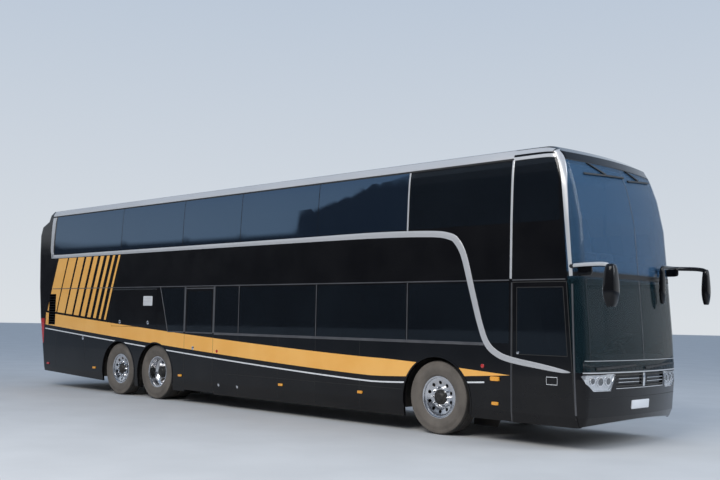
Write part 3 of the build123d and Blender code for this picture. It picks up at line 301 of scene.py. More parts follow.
NODE_MATERIALS = {
    "side_glass": "side_glass rear_window", "windscreen": "windscreens", "dark_metal": "grille",
    "satin_black": "front_frame", "plastic": "roof_hatches wipers", "red": "tail_lamps",
    "clear": "headlamps", "floor": "lower_floor upper_floor stairs",
    "steel": "wheelhouses chassis_frame", "dash": "dashboard",
    "iron": "engine front_axle drive_axle tag_axle knuckle_left knuckle_right",
}
for name, node in nodes.items():
    own = [M[kind] for kind, names in NODE_MATERIALS.items() if name in names.split()]
    material = (own + [M["black"]])[0]
    if not node.material_slots:
        node.data.materials.append(material)
    for material_slot in node.material_slots:
        material_slot.material = material


# Mesh helpers


def add_piece(name, groups, material, body="coach"):
    """A piece that rides on a body, from groups of points and faces."""
    points, faces = [], []
    for some_points, some_faces in groups:
        base = len(points)
        points += [tuple(p) for p in some_points]
        faces += [tuple(base + index for index in face) for face in some_faces]
    mesh = bpy.data.meshes.new(name)
    mesh.from_pydata(points, [], faces)
    mesh.validate()
    work = bmesh.new()
    work.from_mesh(mesh)
    bmesh.ops.recalc_face_normals(work, faces=work.faces)
    work.to_mesh(mesh)
    work.free()
    piece = bpy.data.objects.new(name, mesh)
    scene.collection.objects.link(piece)
    for one in [material] if isinstance(material, str) else material:
        mesh.materials.append(M[one])
    mesh.shade_smooth()
    mesh.set_sharp_from_angle(angle=math.radians(35))
    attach(piece, body)
    return piece


def ring_faces(rings, count, closed=False, caps=(), around=True):
    """Faces between rings of points. A cap is a ring's number and the order of its corners."""
    faces = []
    for ring in range(rings if closed else rings - 1):
        here, there = ring * count, (ring + 1) % rings * count
        for k in range(count if around else count - 1):
            n = (k + 1) % count
            faces.append((here + k, here + n, there + n, there + k))
    for ring, order in caps:
        faces.append(tuple(ring % rings * count + k for k in range(count))[::order])
    return faces


def curve_points(points, steps=8):
    """Points along a smooth line through the given ones (Catmull-Rom)."""
    rows = [points[0]] + list(points) + [points[-1]]
    made = []
    for before, start, end, after in zip(rows, rows[1:], rows[2:], rows[3:]):
        for step in range(steps):
            t = step / steps
            made.append(tuple(
                0.5 * (2 * b + (c - a) * t + (2 * a - 5 * b + 4 * c - d) * t**2
                       + (3 * b - a - 3 * c + d) * t**3)
                for a, b, c, d in zip(before, start, end, after)
            ))
    made.append(tuple(points[-1]))
    return made


STRIP_SECTION = ((-1.0, -0.5), (-1.0, 0.6), (-0.86, 1.0), (0.86, 1.0), (1.0, 0.6), (1.0, -0.5))
BENT_SECTION = STRIP_SECTION[:3] + tuple((across / 4, 1.0) for across in range(-3, 4))
BENT_SECTION += STRIP_SECTION[3:] + tuple((across / 4, -0.5) for across in range(3, -4, -1))


def strip_mesh(line, widths, place, thickness, closed=False, section=STRIP_SECTION):
    """Points and faces of a raised strip along a line on a surface."""
    points = []
    count = len(line)
    for index, (u, v) in enumerate(line):
        before, after = line[index - 1], line[(index + 1) % count]
        if not closed:
            before, after = line[max(index - 1, 0)], line[min(index + 1, count - 1)]
        du, dv = after[0] - before[0], after[1] - before[1]
        length = math.hypot(du, dv) or 1.0
        width = widths[index] if isinstance(widths, list) else widths
        for across, rise in section:
            shift = across * width / 2
            points.append(place(u - dv / length * shift, v + du / length * shift, rise * thickness))
    caps = () if closed else ((0, 1), (-1, -1))
    return points, ring_faces(count, len(section), closed, caps)


def add_strips(name, strips, place, thickness, material, body="coach", **form):
    """Raised strips on one surface, joined to one piece. A strip is a line and its width."""
    groups = [strip_mesh(line, width, place, thickness, **form) for line, width in strips]
    add_piece(name, groups, material, body)


def straight(start, end, pieces=12):
    """Points along a straight line."""
    return [
        tuple(a + (b - a) * step / pieces for a, b in zip(start, end))
        for step in range(pieces + 1)
    ]


def level(start, end, height, pieces, width):
    """A level strip."""
    return straight((start, height), (end, height), pieces), width


def upright(place, low, high, pieces, width):
    """An upright strip."""
    return straight((place, low), (place, high), pieces), width


def edge_strips(corners, pieces, width, closed=False):
    """Strips along the edges between corners."""
    ends = corners[1:] + (corners[:1] if closed else [])
    return [(straight(a, b, pieces), width) for a, b in zip(corners, ends)]


def bent_strip(rows):
    """A strip on a side along a smooth line through rows of (ahead, height, width)."""
    bent = curve_points([(st(x), z, width) for x, z, width in rows])
    return [(x, z) for x, z, _ in bent], [width for _, _, width in bent]


def inside(point, loop):
    """Whether a point lies in a closed loop."""
    x, y = point
    found = False
    for (ax, ay), (bx, by) in zip(loop, loop[1:] + loop[:1]):
        if (ay > y) != (by > y) and x < ax + (y - ay) * (bx - ax) / (by - ay):
            found = not found
    return found


def arc(centre, radius, angles):
    return [(centre[0] + radius * math.cos(a), centre[1] + radius * math.sin(a)) for a in angles]


def circle_loop(centre, radius, count=48):
    return arc(centre, radius, [2 * math.pi * k / count for k in range(count)])


def box_loop(low_u, high_u, low_v, high_v):
    return [(low_u, low_v), (high_u, low_v), (high_u, high_v), (low_u, high_v)]


def fine(loop, reach):
    """The loop with its edges divided into pieces no longer than reach."""
    made = []
    for start, end in zip(loop, loop[1:] + loop[:1]):
        made.extend(straight(start, end, max(math.ceil(math.dist(start, end) / reach), 1))[:-1])
    return made


def extent(points):
    """Low and high of points, across and up."""
    us, vs = zip(*points)
    return min(us), max(us), min(vs), max(vs)


def flat_sheet(loops, holes, spacing, levels=(), within=None):
    """Triangles in one of loops, in no hole and within a box, with edges along levels."""
    low_u, high_u, low_v, high_v = extent([p for loop in loops for p in loop])
    reach = 0.01
    steps = max(int((high_u - low_u) / spacing[0]), 1)
    runs = [
        (straight((low_u - reach, level), (high_u + reach, level), steps), steps)
        for level in levels if low_v < level < high_v
    ]
    cuts = [box_loop(*within)] if within else []
    runs += [(loop, len(loop)) for loop in [*loops, *holes, *cuts]]
    points, edges = [], []
    for run, count in runs:
        base = len(points)
        points += [Vector(p) for p in run]
        edges += [(base + k, base + (k + 1) % len(run)) for k in range(count)]
    for loop in loops:
        low_u, high_u, low_v, high_v = extent(loop)
        for i in range(1, int((high_u - low_u) / spacing[0]) + 1):
            for j in range(1, int((high_v - low_v) / spacing[1]) + 1):
                spot = (low_u + i * spacing[0], low_v + j * spacing[1])
                if inside(spot, loop):
                    points.append(Vector(spot))
    out_points, _, out_faces, *_ = delaunay_2d_cdt(points, edges, [], 0, 1e-5)
    faces = []
    for face in out_faces:
        middle = sum((out_points[k] for k in face), Vector((0, 0))) / len(face)
        kept = any(inside(middle, loop) for loop in loops)
        kept = kept and not any(inside(middle, hole) for hole in holes)
        if kept and all(inside(middle, cut) for cut in cuts):
            faces.append(tuple(face))
    used = sorted({k for face in faces for k in face})
    fresh = {old: new for new, old in enumerate(used)}
    return [tuple(out_points[k]) for k in used], [tuple(fresh[k] for k in f) for f in faces]


def rim_edges(faces):
    """The edges that only one face has."""
    uses = {}
    for face in faces:
        for a, b in zip(face, face[1:] + face[:1]):
            uses.setdefault((min(a, b), max(a, b)), []).append((a, b))
    return [same[0] for same in uses.values() if len(same) == 1]


def add_sheet(name, loops, place, out, material, body="coach", holes=(), within=None,
              spacing=(0.3, 0.12), depth=None):
    """A thin sheet on a surface. Its rim goes down to the surface, or as deep as depth."""
    flat, faces = flat_sheet(loops, holes, spacing, [row[0] for row in OUTLINES], within)
    if faces:
        base = len(flat)
        points = [place(u, v, lift) for lift in (out, out - (depth or out)) for u, v in flat]
        faces += [(a, b, b + base, a + base) for a, b in rim_edges(faces)]
        add_piece(name, [(points, faces)], material, body)


def lathe(profile, segments, axle_x, side):
    """Points and faces of a closed profile of (y, radius) turned about a wheel's axle."""
    angles = [2 * math.pi * step / segments for step in range(segments)]
    points = [
        Vector((axle_x + radius * math.cos(a), side * y, HUB_HEIGHT + radius * math.sin(a)))
        for a in angles for y, radius in profile
    ]
    return points, ring_faces(segments, len(profile), True)


def rounded_box(centre, size, power, cuts, turn=None):
    """Points and faces of a soft-cornered block."""
    work = bmesh.new()
    bmesh.ops.create_cube(work, size=2.0)
    bmesh.ops.subdivide_edges(work, edges=work.edges, cuts=cuts, use_grid_fill=True)
    points = []
    for vert in work.verts:
        length = sum(abs(c) ** power for c in vert.co) ** (1 / power)
        q = Vector([c / length * reach / 2 for c, reach in zip(vert.co, size)])
        points.append((turn @ q if turn else q) + Vector(centre))
    work.verts.index_update()
    faces = [tuple(v.index for v in face.verts) for face in work.faces]
    work.free()
    return points, faces


# Camera at the photograph's viewing point
camera_data = bpy.data.cameras.new("camera")
camera_data.sensor_width = 36.0
camera_data.lens = 46.86
camera_data.clip_end = 400.0
camera = bpy.data.objects.new("camera", camera_data)
scene.collection.objects.link(camera)
camera.matrix_world = Matrix.Translation((13.02, -11.682, 1.603)) @ Matrix((
    (0.72064, 0.04554, 0.69181),
    (0.69308, -0.07326, -0.71713),
    (0.01802, 0.99627, -0.08435),
)).to_4x4()
scene.camera = camera
scene.view_settings.view_transform = "Standard"


# Livery: a long gold belt with graduated leaning bars behind, and a white line
FILM = 0.0016
belt_front = 1.27
belt_rear = -11.36
belt_start = -1.2


def belt_middle(x):
    """Height of the belt's middle, rising in one long arc to the rear."""
    share = max((belt_start - x) / (belt_start - belt_rear), 0.0)
    return 0.9 + 0.6 * share**1.25


def belt_half(x):
    """Half the belt's depth, tapering to a point in front."""
    ahead = max(x - belt_start, 0.0) / (belt_front - belt_start)
    return 0.135 * (1.0 - ahead**1.3)


def over_belt(x):
    return belt_middle(x) + belt_half(x)


def under_belt(x):
    return belt_middle(x) - belt_half(x)


belt_steps = 60
belt_xs = [belt_front + (belt_rear - belt_front) * k / belt_steps for k in range(belt_steps + 1)]
belt_loop = [(st(x), over_belt(x)) for x in belt_xs]
belt_loop += [(st(x), under_belt(x)) for x in reversed(belt_xs[1:])]

bar_top = 2.835
bar_lean = 0.42
bar_gap = 0.045
bars = []
bar_x = -11.3
bar_width = widest = 0.4
while bar_width > 0.06:
    bar_end = bar_x + bar_width
    low = over_belt(bar_x) + bar_gap
    lean = bar_lean * ((bar_top - low) / (bar_top - 1.6))
    bars.append([
        (st(bar_x), low), (st(bar_end), over_belt(bar_end) + bar_gap),
        (st(bar_end + lean), bar_top), (st(bar_x + lean), bar_top),
    ])
    bar_x += bar_width + bar_gap + (widest - bar_width) * 0.25
    bar_width *= 0.8

line_drop = 0.075
line_depth = 0.022
line_xs = [x for x in belt_xs if x < 0.85]
line_loop = [(st(x), under_belt(x) - line_drop) for x in line_xs]
line_loop += [(st(x), under_belt(x) - line_drop - line_depth) for x in reversed(line_xs)]

flap_box = (st(-8.6), st(-6.98), 1.38, 2.11)
flap_room = box_loop(
    flap_box[0] - PANEL_GAP, flap_box[1] + PANEL_GAP, flap_box[2] - PANEL_GAP, flap_box[3] + 0.014,
)
holes = [circle_loop((AXLES[name], ARCH_CENTRE), ARCH_RADII[name] + 0.004) for name in AXLES]
holes += [box_loop(st(-11.235), st(-10.935), 1.365, 2.045), flap_room]
door_gaps = [box_loop(st(x), st(x + PANEL_GAP), 0.2, 2.135) for x in (1.3, -6.05, -5.176)]

LIVERY = (("belt", [belt_loop], "gold"), ("bars", bars, "gold"), ("line", [line_loop], "white"))
for side, word, place in SIDES:
    openings = holes + (door_gaps if side == RIGHT else [])
    for name, loops, paint in LIVERY:
        add_sheet(f"livery_{name}_{word}", loops, place, FILM, paint, holes=openings)
        add_sheet(
            f"livery_{name}_flap_{word}", loops, place, FILM, paint, f"flap_{word}",
            within=flap_box,
        )


# Silver line: from the tail's strip along the upper windows and down to the door. Rows are ahead
# of the front axle, height, width
SWEEP = [
    (-11.245, 3.78, 0.15), (-11.245, 3.4, 0.14), (-11.24, 3.06, 0.12), (-11.18, 2.925, 0.09),
    (-11.05, 2.885, 0.075), (-9.0, 2.885, 0.075), (-6.0, 2.885, 0.075), (-3.0, 2.885, 0.08),
    (-1.2, 2.882, 0.09), (-0.13, 2.85, 0.09), (0.22, 2.8, 0.095), (0.36, 2.715, 0.1),
    (0.49, 2.5, 0.1), (0.63, 2.04, 0.095), (0.77, 1.58, 0.09), (0.89, 1.31, 0.09),
    (1.06, 1.175, 0.085), (1.29, 1.105, 0.08), (1.74, 1.04, 0.07), (2.0, 1.003, 0.052),
    (2.11, 0.99, 0.034), (2.18, 0.984, 0.01),
]

# Cant rail: one silver band over the upper windows, two from the front post to the corner post
cant_rear, cant_front = st(-11.33), st(1.275)
CANT_ROWS = [
    [(1.275, 3.89, 0.062), (1.6, 3.89, 0.062), (1.76, 3.885, 0.06), (1.88, 3.868, 0.05)],
    [(1.275, 3.803, 0.045), (1.62, 3.803, 0.046), (1.8, 3.8, 0.048), (1.935, 3.786, 0.05)],
    [(1.905, 3.866, 0.05), (1.955, 3.8, 0.06), (1.995, 3.725, 0.066), (2.03, 3.62, 0.07),
     (2.065, 3.45, 0.068), (2.1, 3.15, 0.064), (2.13, 2.85, 0.058), (2.16, 2.52, 0.052),
     (2.19, 2.2, 0.046)],
]
PANE_SEAMS = (-11.13, -8.36, -6.22, -4.49, -2.51, -0.57)
pane_gap = 0.007


def arch_line(name):
    """Line of a wheel arch's lip."""
    first, turn, steps = -14, 208, 48
    angles = [math.radians(first + turn * k / steps) for k in range(steps + 1)]
    return arc((AXLES[name], ARCH_CENTRE), ARCH_RADII[name] + 0.01, angles)


rear_middle = AXLES["tag"] + TANDEM / 2
lip_gap = 0.012
lips = [
    arch_line("front"),
    [p for p in arch_line("drive") if p[0] > rear_middle + lip_gap],
    [p for p in arch_line("tag") if p[0] < rear_middle - lip_gap],
]


def puck(place, u, v, radius, rise, steps=20):
    """A round button on a surface, crowned a little."""
    rings = ((1.0, -0.3), (1.0, 0.6), (0.82, 1.0), (0.45, 1.12))
    points = [
        place(*spot, height * rise)
        for share, height in rings for spot in circle_loop((u, v), share * radius, steps)
    ]
    return points, ring_faces(len(rings), steps, caps=[(-1, 1)])


def pad(place, u, v, width, height, rise, corner=0.3, steps=6):
    """A small rounded block on a surface."""
    outline = []
    radius = corner * min(width, height)
    for cu, cv, first in ((1, 1, 0), (-1, 1, 90), (-1, -1, 180), (1, -1, 270)):
        centre = (cu * (width / 2 - radius), cv * (height / 2 - radius))
        angles = [math.radians(first + 90 * k / steps) for k in range(steps + 1)]
        outline += arc(centre, radius, angles)
    rings = ((1.0, -0.3), (1.0, 0.7), (0.9, 1.0))
    points = [
        place(u + share * du, v + share * dv, lift * rise)
        for share, lift in rings for du, dv in outline
    ]
    return points, ring_faces(len(rings), len(outline), caps=[(-1, 1)])


def deeper(place, depth):
    """The same surface, sunk by depth."""
    return lambda u, v, out=0.0: place(u, v, out - depth)


for side, word, place in SIDES:
    on_right = side == RIGHT
    flap = f"flap_{word}"
    posts = [upright(st(-0.57), 2.92, 3.785, 9, 0.028), upright(st(1.275), 2.18, 3.785, 16, 0.034)]
    # Thin grey lines round the lower windows and at the waist
    rows = [level(st(-11.1), st(1.25), 2.162, 60, 0.016)]
    rows += [level(st(1.3), post_x(2.16) - 0.03, 2.162, 8, 0.016)]
    rows += [level(st(-5.15 if on_right else -6.6), st(0.84), 1.3, 40, 0.04)]
    if on_right:
        rows += [level(st(-6.02), st(-5.2), 1.305, 8, 0.022)]
        rows += [level(st(-6.6), st(-6.08), 1.305, 6, 0.022)]
        rows += [upright(st(x), 1.31, 2.15, 6, 0.052) for x in (-6.054, -5.168)]
        rows += [level(st(-6.03), st(-5.19), 2.118, 6, 0.016)]
    rows += [(straight((st(-6.875), 2.15), (st(-6.595), 1.31), 8), 0.02)]
    rows += [upright(st(x), 1.31, 2.15, 6, 0.016) for x in (-4.46, -2.49, -0.55)]
    # Joints of the skirt panels
    joints = [level(st(-4.8), st(-0.62), 0.6, 30, 0.007)]
    joints += [upright(st(x), 0.26, 1.28, 8, 0.006) for x in (-4.46, -3.4, -2.49, -1.5)]
    joints += [upright(st(x), 0.34, 1.36, 8, 0.006) for x in (-9.62, -10.85)]
    for name, strips, rise, paint in (
        ("silver_line", [bent_strip(SWEEP)], 0.006, "silver"),
        ("cant_rubber", [level(cant_rear, cant_front, 3.798, 60, 0.022)], 0.002, "rubber"),
        ("window_posts", posts, 0.004, "silver"),
        ("corner_seam", [(straight((st(2.207), 2.1), (st(2.255), 0.45), 30), 0.022)], 0.004,
         "grey_trim"),
        ("window_lines", rows, 0.003, "grey_trim"),
        ("skirt_joints", joints, 0.0008, "rubber"),
        ("arch_lips", [(lip, 0.024) for lip in lips], 0.007, "black"),
    ):
        add_strips(f"{name}_{word}", strips, place, rise, paint)
    bands = [bent_strip(band) for band in CANT_ROWS]
    add_strips(f"cant_rail_{word}", bands, place, 0.004, "silver", section=BENT_SECTION)
    slats = [level(st(-7.43), st(-7.16), 1.82 + 0.028 * k, 4, 0.01) for k in range(6)]
    add_strips(f"vent_slats_{word}", slats, deeper(place, -0.006), 0.005, "silver", flap)

    band = fine(box_loop(cant_rear, cant_front, 3.812, 3.926), 0.3)
    add_sheet(f"cant_band_{word}", [band], place, 0.004, "silver")
    # Panes of sun-shading glass over the upper deck's seats, with a gap at each seam
    panes = [
        fine(box_loop(st(rear) + pane_gap, st(front) - pane_gap, 2.935, 3.785), 0.3)
        for rear, front in zip(PANE_SEAMS, PANE_SEAMS[1:])
    ]
    add_sheet(f"sun_panes_{word}", panes, place, 0.0012, "sun_glass", spacing=(0.3, 0.15))

    for name, paint, body, pads in (
        # rows of pads: ahead of the front axle, height, width, height, rise
        ("amber_markers", "amber", "coach", [
            *[(x, 0.5, 0.105, 0.042, 0.018) for x in (-9.2, -6.15, -3.31, -1.48)],
            (1.03, 0.514, 0.11, 0.045, 0.018), (1.03, 0.842, 0.15, 0.06, 0.026),
        ]),
        ("red_markers", "red", "coach", [(-11.17, 0.504, 0.1, 0.045, 0.016)]),
        ("vent_plate", "white", flap, [(-7.295, 1.89, 0.31, 0.185, 0.006, 0.08)]),
    ):
        add_piece(f"{name}_{word}", [pad(place, st(x), *row) for x, *row in pads], paint, body)
    for name, body, pucks in (
        # rows of locks: ahead of the front axle, height, radius
        ("locks", "coach", [
            (-9.7, 1.1, 0.036), (-5.77 if on_right else -5.9, 1.02, 0.036),
            (-4.983, 0.392, 0.026), (-4.457, 0.39, 0.026),
        ]),
        ("flap_locks", flap, [(-8.28, 1.464, 0.036), (-7.27, 1.464, 0.036)]),
    ):
        groups = [puck(place, st(x), z, radius, 0.007) for x, z, radius in pucks]
        add_piece(f"{name}_{word}", groups, "chrome", body)


# Nose: lamps, windscreen base, grille surround and blank plate
LAMP_OUTLINE = [(1.262, 0.955), (0.655, 0.965), (0.745, 0.748), (1.085, 0.748), (1.215, 0.85)]
LAMP_DEPTH = 0.022
LAMP_UNITS = [
    # distance from the middle, height, radius
    (0.8, 0.872, 0.058), (0.955, 0.868, 0.064), (1.105, 0.88, 0.05),
]
sunk = deeper(nose, LAMP_DEPTH)


def shrunk(loop, share):
    """A loop pulled towards its middle."""
    middle_u = sum(p[0] for p in loop) / len(loop)
    middle_v = sum(p[1] for p in loop) / len(loop)
    return [(middle_u + (u - middle_u) * share, middle_v + (v - middle_v) * share) for u, v in loop]


for side, word, _ in SIDES:
    loop = [(side * y, z) for y, z in LAMP_OUTLINE]
    add_sheet(
        f"lamp_bowl_{word}", [shrunk(loop, 0.97)], nose, -LAMP_DEPTH, "lamp_silver",
        spacing=(0.03, 0.05), depth=-0.012,
    )
    add_strips(
        f"lamp_rim_{word}", [(shrunk(loop, 0.965), 0.016)], deeper(nose, LAMP_DEPTH - 0.01),
        0.008, "chrome", closed=True,
    )
    rings = [
        strip_mesh(circle_loop((side * y, z), radius * 0.88, 28), radius * 0.26, sunk, 0.016, True)
        for y, z, radius in LAMP_UNITS
    ]
    add_piece(f"lamp_rings_{word}", rings, "chrome")
    glasses = [puck(sunk, side * y, z, radius * 0.72, 0.01, 28) for y, z, radius in LAMP_UNITS]
    add_piece(f"lamp_projectors_{word}", glasses, "side_glass")
    ribs = [upright(side * (0.7 + 0.03 * k), 0.785, 0.95, 3, 0.004) for k in range(1, 17)]
    add_strips(f"lamp_ribs_{word}", ribs, sunk, 0.004, "lamp_silver")

band = box_loop(-1.235, 1.235, 0.992, 1.125)
add_sheet("windscreen_band", [band], nose, 0.0014, "satin_black", spacing=(0.04, 0.07))
base_lines = [
    level(-1.22, 1.22, 1.132, 60, 0.008), level(-1.24, 1.24, 0.982, 60, 0.016),
    level(-0.64, 0.64, 0.776, 40, 0.01),
]
add_strips("windscreen_lines", base_lines, nose, 0.004, "silver")
add_strips("grille_upright", [upright(0.03, 0.965, 0.79, 6, 0.055)], nose, 0.006, "chrome")
blades = [level(s * 0.11, s * 0.6, z, 16, 0.01) for s in (-1, 1) for z in (0.9, 0.855)]
add_strips("grille_blades", blades, nose, 0.003, "chrome")
add_piece("front_plate", [pad(nose, -0.03, 0.555, 0.47, 0.115, 0.012, 0.12)], "white")
add_strips("bumper_joint", [level(-1.2, 1.2, 0.66, 60, 0.006)], nose, 0.0008, "rubber")
seals = [level(-1.24, 1.24, z, 60, 0.012) for z in (2.202, 2.253)]
seals += [level(-1.18, 1.18, 3.738, 50, 0.012)]
add_strips("split_seals", seals, nose, FILM, "rubber")
joints = [upright(0.05, low, high, 14, 0.011) for low, high in ((1.14, 2.19), (2.262, 3.728))]
add_strips("screen_joints", joints, nose, FILM, "grey_trim")

# Passenger doors, on the right side: rubber seals, knob, buttons and a small outlined field
_, word, place = SIDES[0]
door = [(st(1.303), 0.292), (st(1.303), 2.132), (post_x(2.132) - 0.018, 2.132),
        (post_x(0.3) - 0.018, 0.292)]
middle = [(st(-6.047), 0.242), (st(-6.047), 2.132), (st(-5.173), 2.132), (st(-5.173), 0.242)]
seals = edge_strips(door, 16, 0.012) + edge_strips(middle, 12, 0.01)
add_strips(f"door_seals_{word}", seals, place, 0.0014, "rubber")
window = [(st(1.372), 1.182), (post_x(1.18) - 0.072, 1.182), (post_x(2.06) - 0.072, 2.063),
          (st(1.372), 2.063)]
add_strips(f"door_window_{word}", edge_strips(window, 12, 0.01, True), place, 0.002, "rubber")
edge_line = [upright(st(1.287), 2.13, 0.3, 14, 0.014)]
add_strips(f"door_edge_{word}", edge_line, place, 0.003, "grey_trim")
add_piece(f"door_knob_{word}", [puck(place, st(1.395), 1.204, 0.022, 0.014)], "chrome")
buttons = [puck(place, st(x), z, 0.028, 0.009) for x, z in ((-5.048, 0.988), (0.82, 1.002))]
add_piece(f"door_buttons_{word}", buttons, "red")
field = box_loop(st(1.83), st(1.99), 0.815, 0.91)
add_strips(f"door_field_{word}", [(field, 0.008)], place, 0.001, "white", closed=True)


# Mirrors: formed housings, arms and glasses
MIRRORS = [
    # side, arm's points (ahead of the front axle, distance from the middle, height), bracket,
    # angles of the silver on the arm's upper side, which is black below, and housings: X, Y, low,
    # high, length, width
    (
        RIGHT, [(2.15, 1.245, 2.325), (2.48, 1.39, 2.327), (2.76, 1.442, 2.322), (2.835, 1.45, 2.285)],
        (2.255, 1.21), (-35, 75), [(2.85, 1.45, 1.81, 2.325, 0.18, 0.2)],
    ),
    (
        LEFT, [(2.472, 0.66, 2.35), (2.47, 0.7, 2.4), (2.45, 1.13, 2.408),
               (2.64, 1.39, 2.408), (2.73, 1.465, 2.385), (2.74, 1.475, 2.34)],
        (2.285, 1.13), (105, 215),
        [(2.74, 1.475, 1.9, 2.405, 0.11, 0.15), (2.472, 0.66, 1.89, 2.405, 0.076, 0.12)],
    ),
]
MIRROR_TAPER = (
    # share of the height, share of the width
    (0.0, 0.46), (0.02, 0.56), (0.07, 0.68), (0.16, 0.82), (0.27, 0.93), (0.36, 0.97), (0.5, 0.95),
    (0.65, 0.88), (0.8, 0.79), (0.9, 0.71), (0.97, 0.6), (1.0, 0.42),
)
HOUSING_POWER = 3.2
ARM_HALF_WIDTH = 0.022
ARM_HALF_HEIGHT = 0.029


def housing_mesh(x, y, low, high, length, width, count=32):
    """A mirror housing of rounded sections that narrows above and below."""
    points = []
    for share, wide in MIRROR_TAPER:
        for k in range(count):
            a = 2 * math.pi * k / count
            c, s = math.cos(a), math.sin(a)
            points.append((
                x + math.copysign(abs(c) ** (2 / HOUSING_POWER), c) * wide * length / 2,
                y + math.copysign(abs(s) ** (2 / HOUSING_POWER), s) * wide * width / 2,
                low + (high - low) * share,
            ))
    return points, ring_faces(len(MIRROR_TAPER), count, caps=[(0, -1), (-1, 1)])


def mirror_pane(x, y, low, high, length, width, across=10, up=12):
    """The mirror glass on the rear of a housing."""
    points = []
    span = 0.74
    for j in range(up + 1):
        share = 0.12 + 0.68 * j / up
        wide = between(MIRROR_TAPER, share)[0]
        for i in range(across + 1):
            s = -span + 2 * span * i / across
            back = (1 - abs(s) ** HOUSING_POWER) ** (1 / HOUSING_POWER)
            points.append((
                x - back * wide * length / 2 - 0.002, y + s * wide * width / 2,
                low + (high - low) * share,
            ))
    return points, ring_faces(up + 1, across + 1, around=False)


def tube_mesh(path, angles=None, grow=0.0, count=20):
    """An oval mirror arm along a path, or only the part of its skin between two angles."""
    points = []
    steps = count + 1 if angles else count
    first, last = angles or (0.0, 2 * math.pi)
    for index, here in enumerate(path):
        before, after = path[max(index - 1, 0)], path[min(index + 1, len(path) - 1)]
        along = (Vector(after) - Vector(before)).normalized()
        across = along.cross(Vector((0, 0, 1))).normalized()
        rise = across.cross(along)
        for k in range(steps):
            a = first + (last - first) * k / count
            points.append(
                Vector(here) + across * math.cos(a) * (ARM_HALF_WIDTH + grow)
                + rise * math.sin(a) * (ARM_HALF_HEIGHT + grow)
            )
    caps = () if angles else ((0, -1), (-1, 1))
    return points, ring_faces(len(path), steps, caps=caps, around=not angles)


formed, glasses, arm_silver_tops = [], [], []
for side, arm, bracket, cap_angles, housings in MIRRORS:
    path = curve_points([(st(x), side * y, z) for x, y, z in arm])
    formed.append(tube_mesh(path))
    # Silver over the arm's upper side; below it the arm stays black
    arm_silver_tops.append(tube_mesh(path[3:-3], [math.radians(a) for a in cap_angles], 0.0015, 12))
    formed.append(rounded_box(
        (st(bracket[0] + 0.06), side * bracket[1], arm[2][2] - 0.05), (0.28, 0.044, 0.13), 6.0, 4,
    ))
    for x, y, *sizes in housings:
        formed.append(housing_mesh(st(x), side * y, *sizes))
        glasses.append(mirror_pane(st(x), side * y, *sizes))
mirror_piece = add_piece("mirrors_formed", formed, "black")
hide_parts("mirrors")
add_piece("mirror_glasses", glasses, "mirror_glass")
add_piece("mirror_arm_silver_tops", arm_silver_tops, "silver")


# Tail: column lamps, band, engine cover slats, plate and seams
TAIL_COVER = (-0.78, 0.78, 0.64, 1.9)
tail_holes = [box_loop(-0.786, 0.786, 0.634, 1.914)]
tail_holes += [box_loop(s - 0.2, s + 0.2, 0.94, 1.51) for s in (-1.285, 1.285)]
TAIL_BANDS = (("band", 1.375, 1.64, "gold"), ("line", 1.275, 1.297, "white"))
for name, low, high, paint in TAIL_BANDS:
    loops = [fine(box_loop(-1.12, 1.12, low, high), 0.06)]
    grid = (0.06, 0.08)
    add_sheet(f"tail_{name}", loops, tail, FILM, paint, holes=tail_holes, spacing=grid)
    add_sheet(
        f"tail_{name}_cover", loops, tail, FILM, paint, "engine_door", within=TAIL_COVER,
        spacing=grid,
    )
slats = [level(-0.62, 0.62, 0.72 + 0.045 * k, 24, 0.024) for k in range(8)]
add_strips("cover_slats", slats, tail, 0.006, "plastic", "engine_door")
TAIL_PADS = (
    # name, material, body, distances from the middle, heights, then width, height and rise
    ("cover_handles", "chrome", "engine_door", (-0.66, 0.66), (1.19,), 0.13, 0.04, 0.012),
    ("rear_plate", "white", "engine_door", (0.0,), (1.18,), 0.47, 0.115, 0.01, 0.12),
    ("plate_lamps", "lamp_silver", "engine_door", (-0.12, 0.12), (1.262,), 0.06, 0.022, 0.016),
    ("column_lamps", "red", "coach", (-1.165, 1.165), (1.75, 3.4), 0.062, 0.125, 0.018),
    ("column_indicators", "amber", "coach", (-1.165, 1.165), (1.91, 3.24), 0.062, 0.125, 0.018),
    ("brake_bar", "red", "coach", (0.0,), (2.87,), 0.6, 0.03, 0.012),
    ("tail_reflectors", "red", "coach", (-1.02, 1.02), (0.61,), 0.1, 0.045, 0.01),
)
for name, material, body, ys, zs, *sizes in TAIL_PADS:
    add_piece(name, [pad(tail, y, z, *sizes) for y in ys for z in zs], material, body)
column = [1.6 + 0.055 * k for k in range(36)]
columns = [([(y, z) for z in column], 0.085) for y in (-1.165, 1.165)]
add_strips("tail_columns", columns, tail, 0.01, "satin_black")
seams = [
    level(-1.1, 1.1, 2.16, 40, 0.012), level(-1.1, 1.1, 2.8, 40, 0.008),
    level(-1.12, 1.12, 0.56, 40, 0.008),
]
seams += edge_strips(box_loop(-0.955, 0.955, 2.952, 3.568), 20, 0.016, True)
add_strips("tail_seams", seams, tail, FILM, "rubber")


# Roof: panel joints, gutters and hatch ribs


def roof_at(height):
    """A flat surface at a height, for places along and across."""
    return lambda x, y, out: Vector((x, y, height + out))


joints = [
    upright(st(x), -0.95, 0.95, 4, 0.012) for x in (-10.9, -9.2, -7.3, -5.6, -3.9, -2.3, -0.7, 0.7)
]
joints += [level(st(-11.2), st(1.45), y, 20, 0.016) for y in (-0.93, 0.93)]
add_strips("roof_joints", joints, roof_at(3.975), 0.003, "rubber")
ribs = [
    upright(st(hatch + ahead), -0.26, 0.26, 3, 0.022)
    for hatch in (-1.5, -8.4) for ahead in (-0.27, -0.09, 0.09, 0.27)
]
add_strips("hatch_ribs", ribs, roof_at(3.9995), 0.005, "plastic")


# Wheels
RIM_RADIUS = 0.286
TRACK_Y = 1.08
TWIN = 0.335


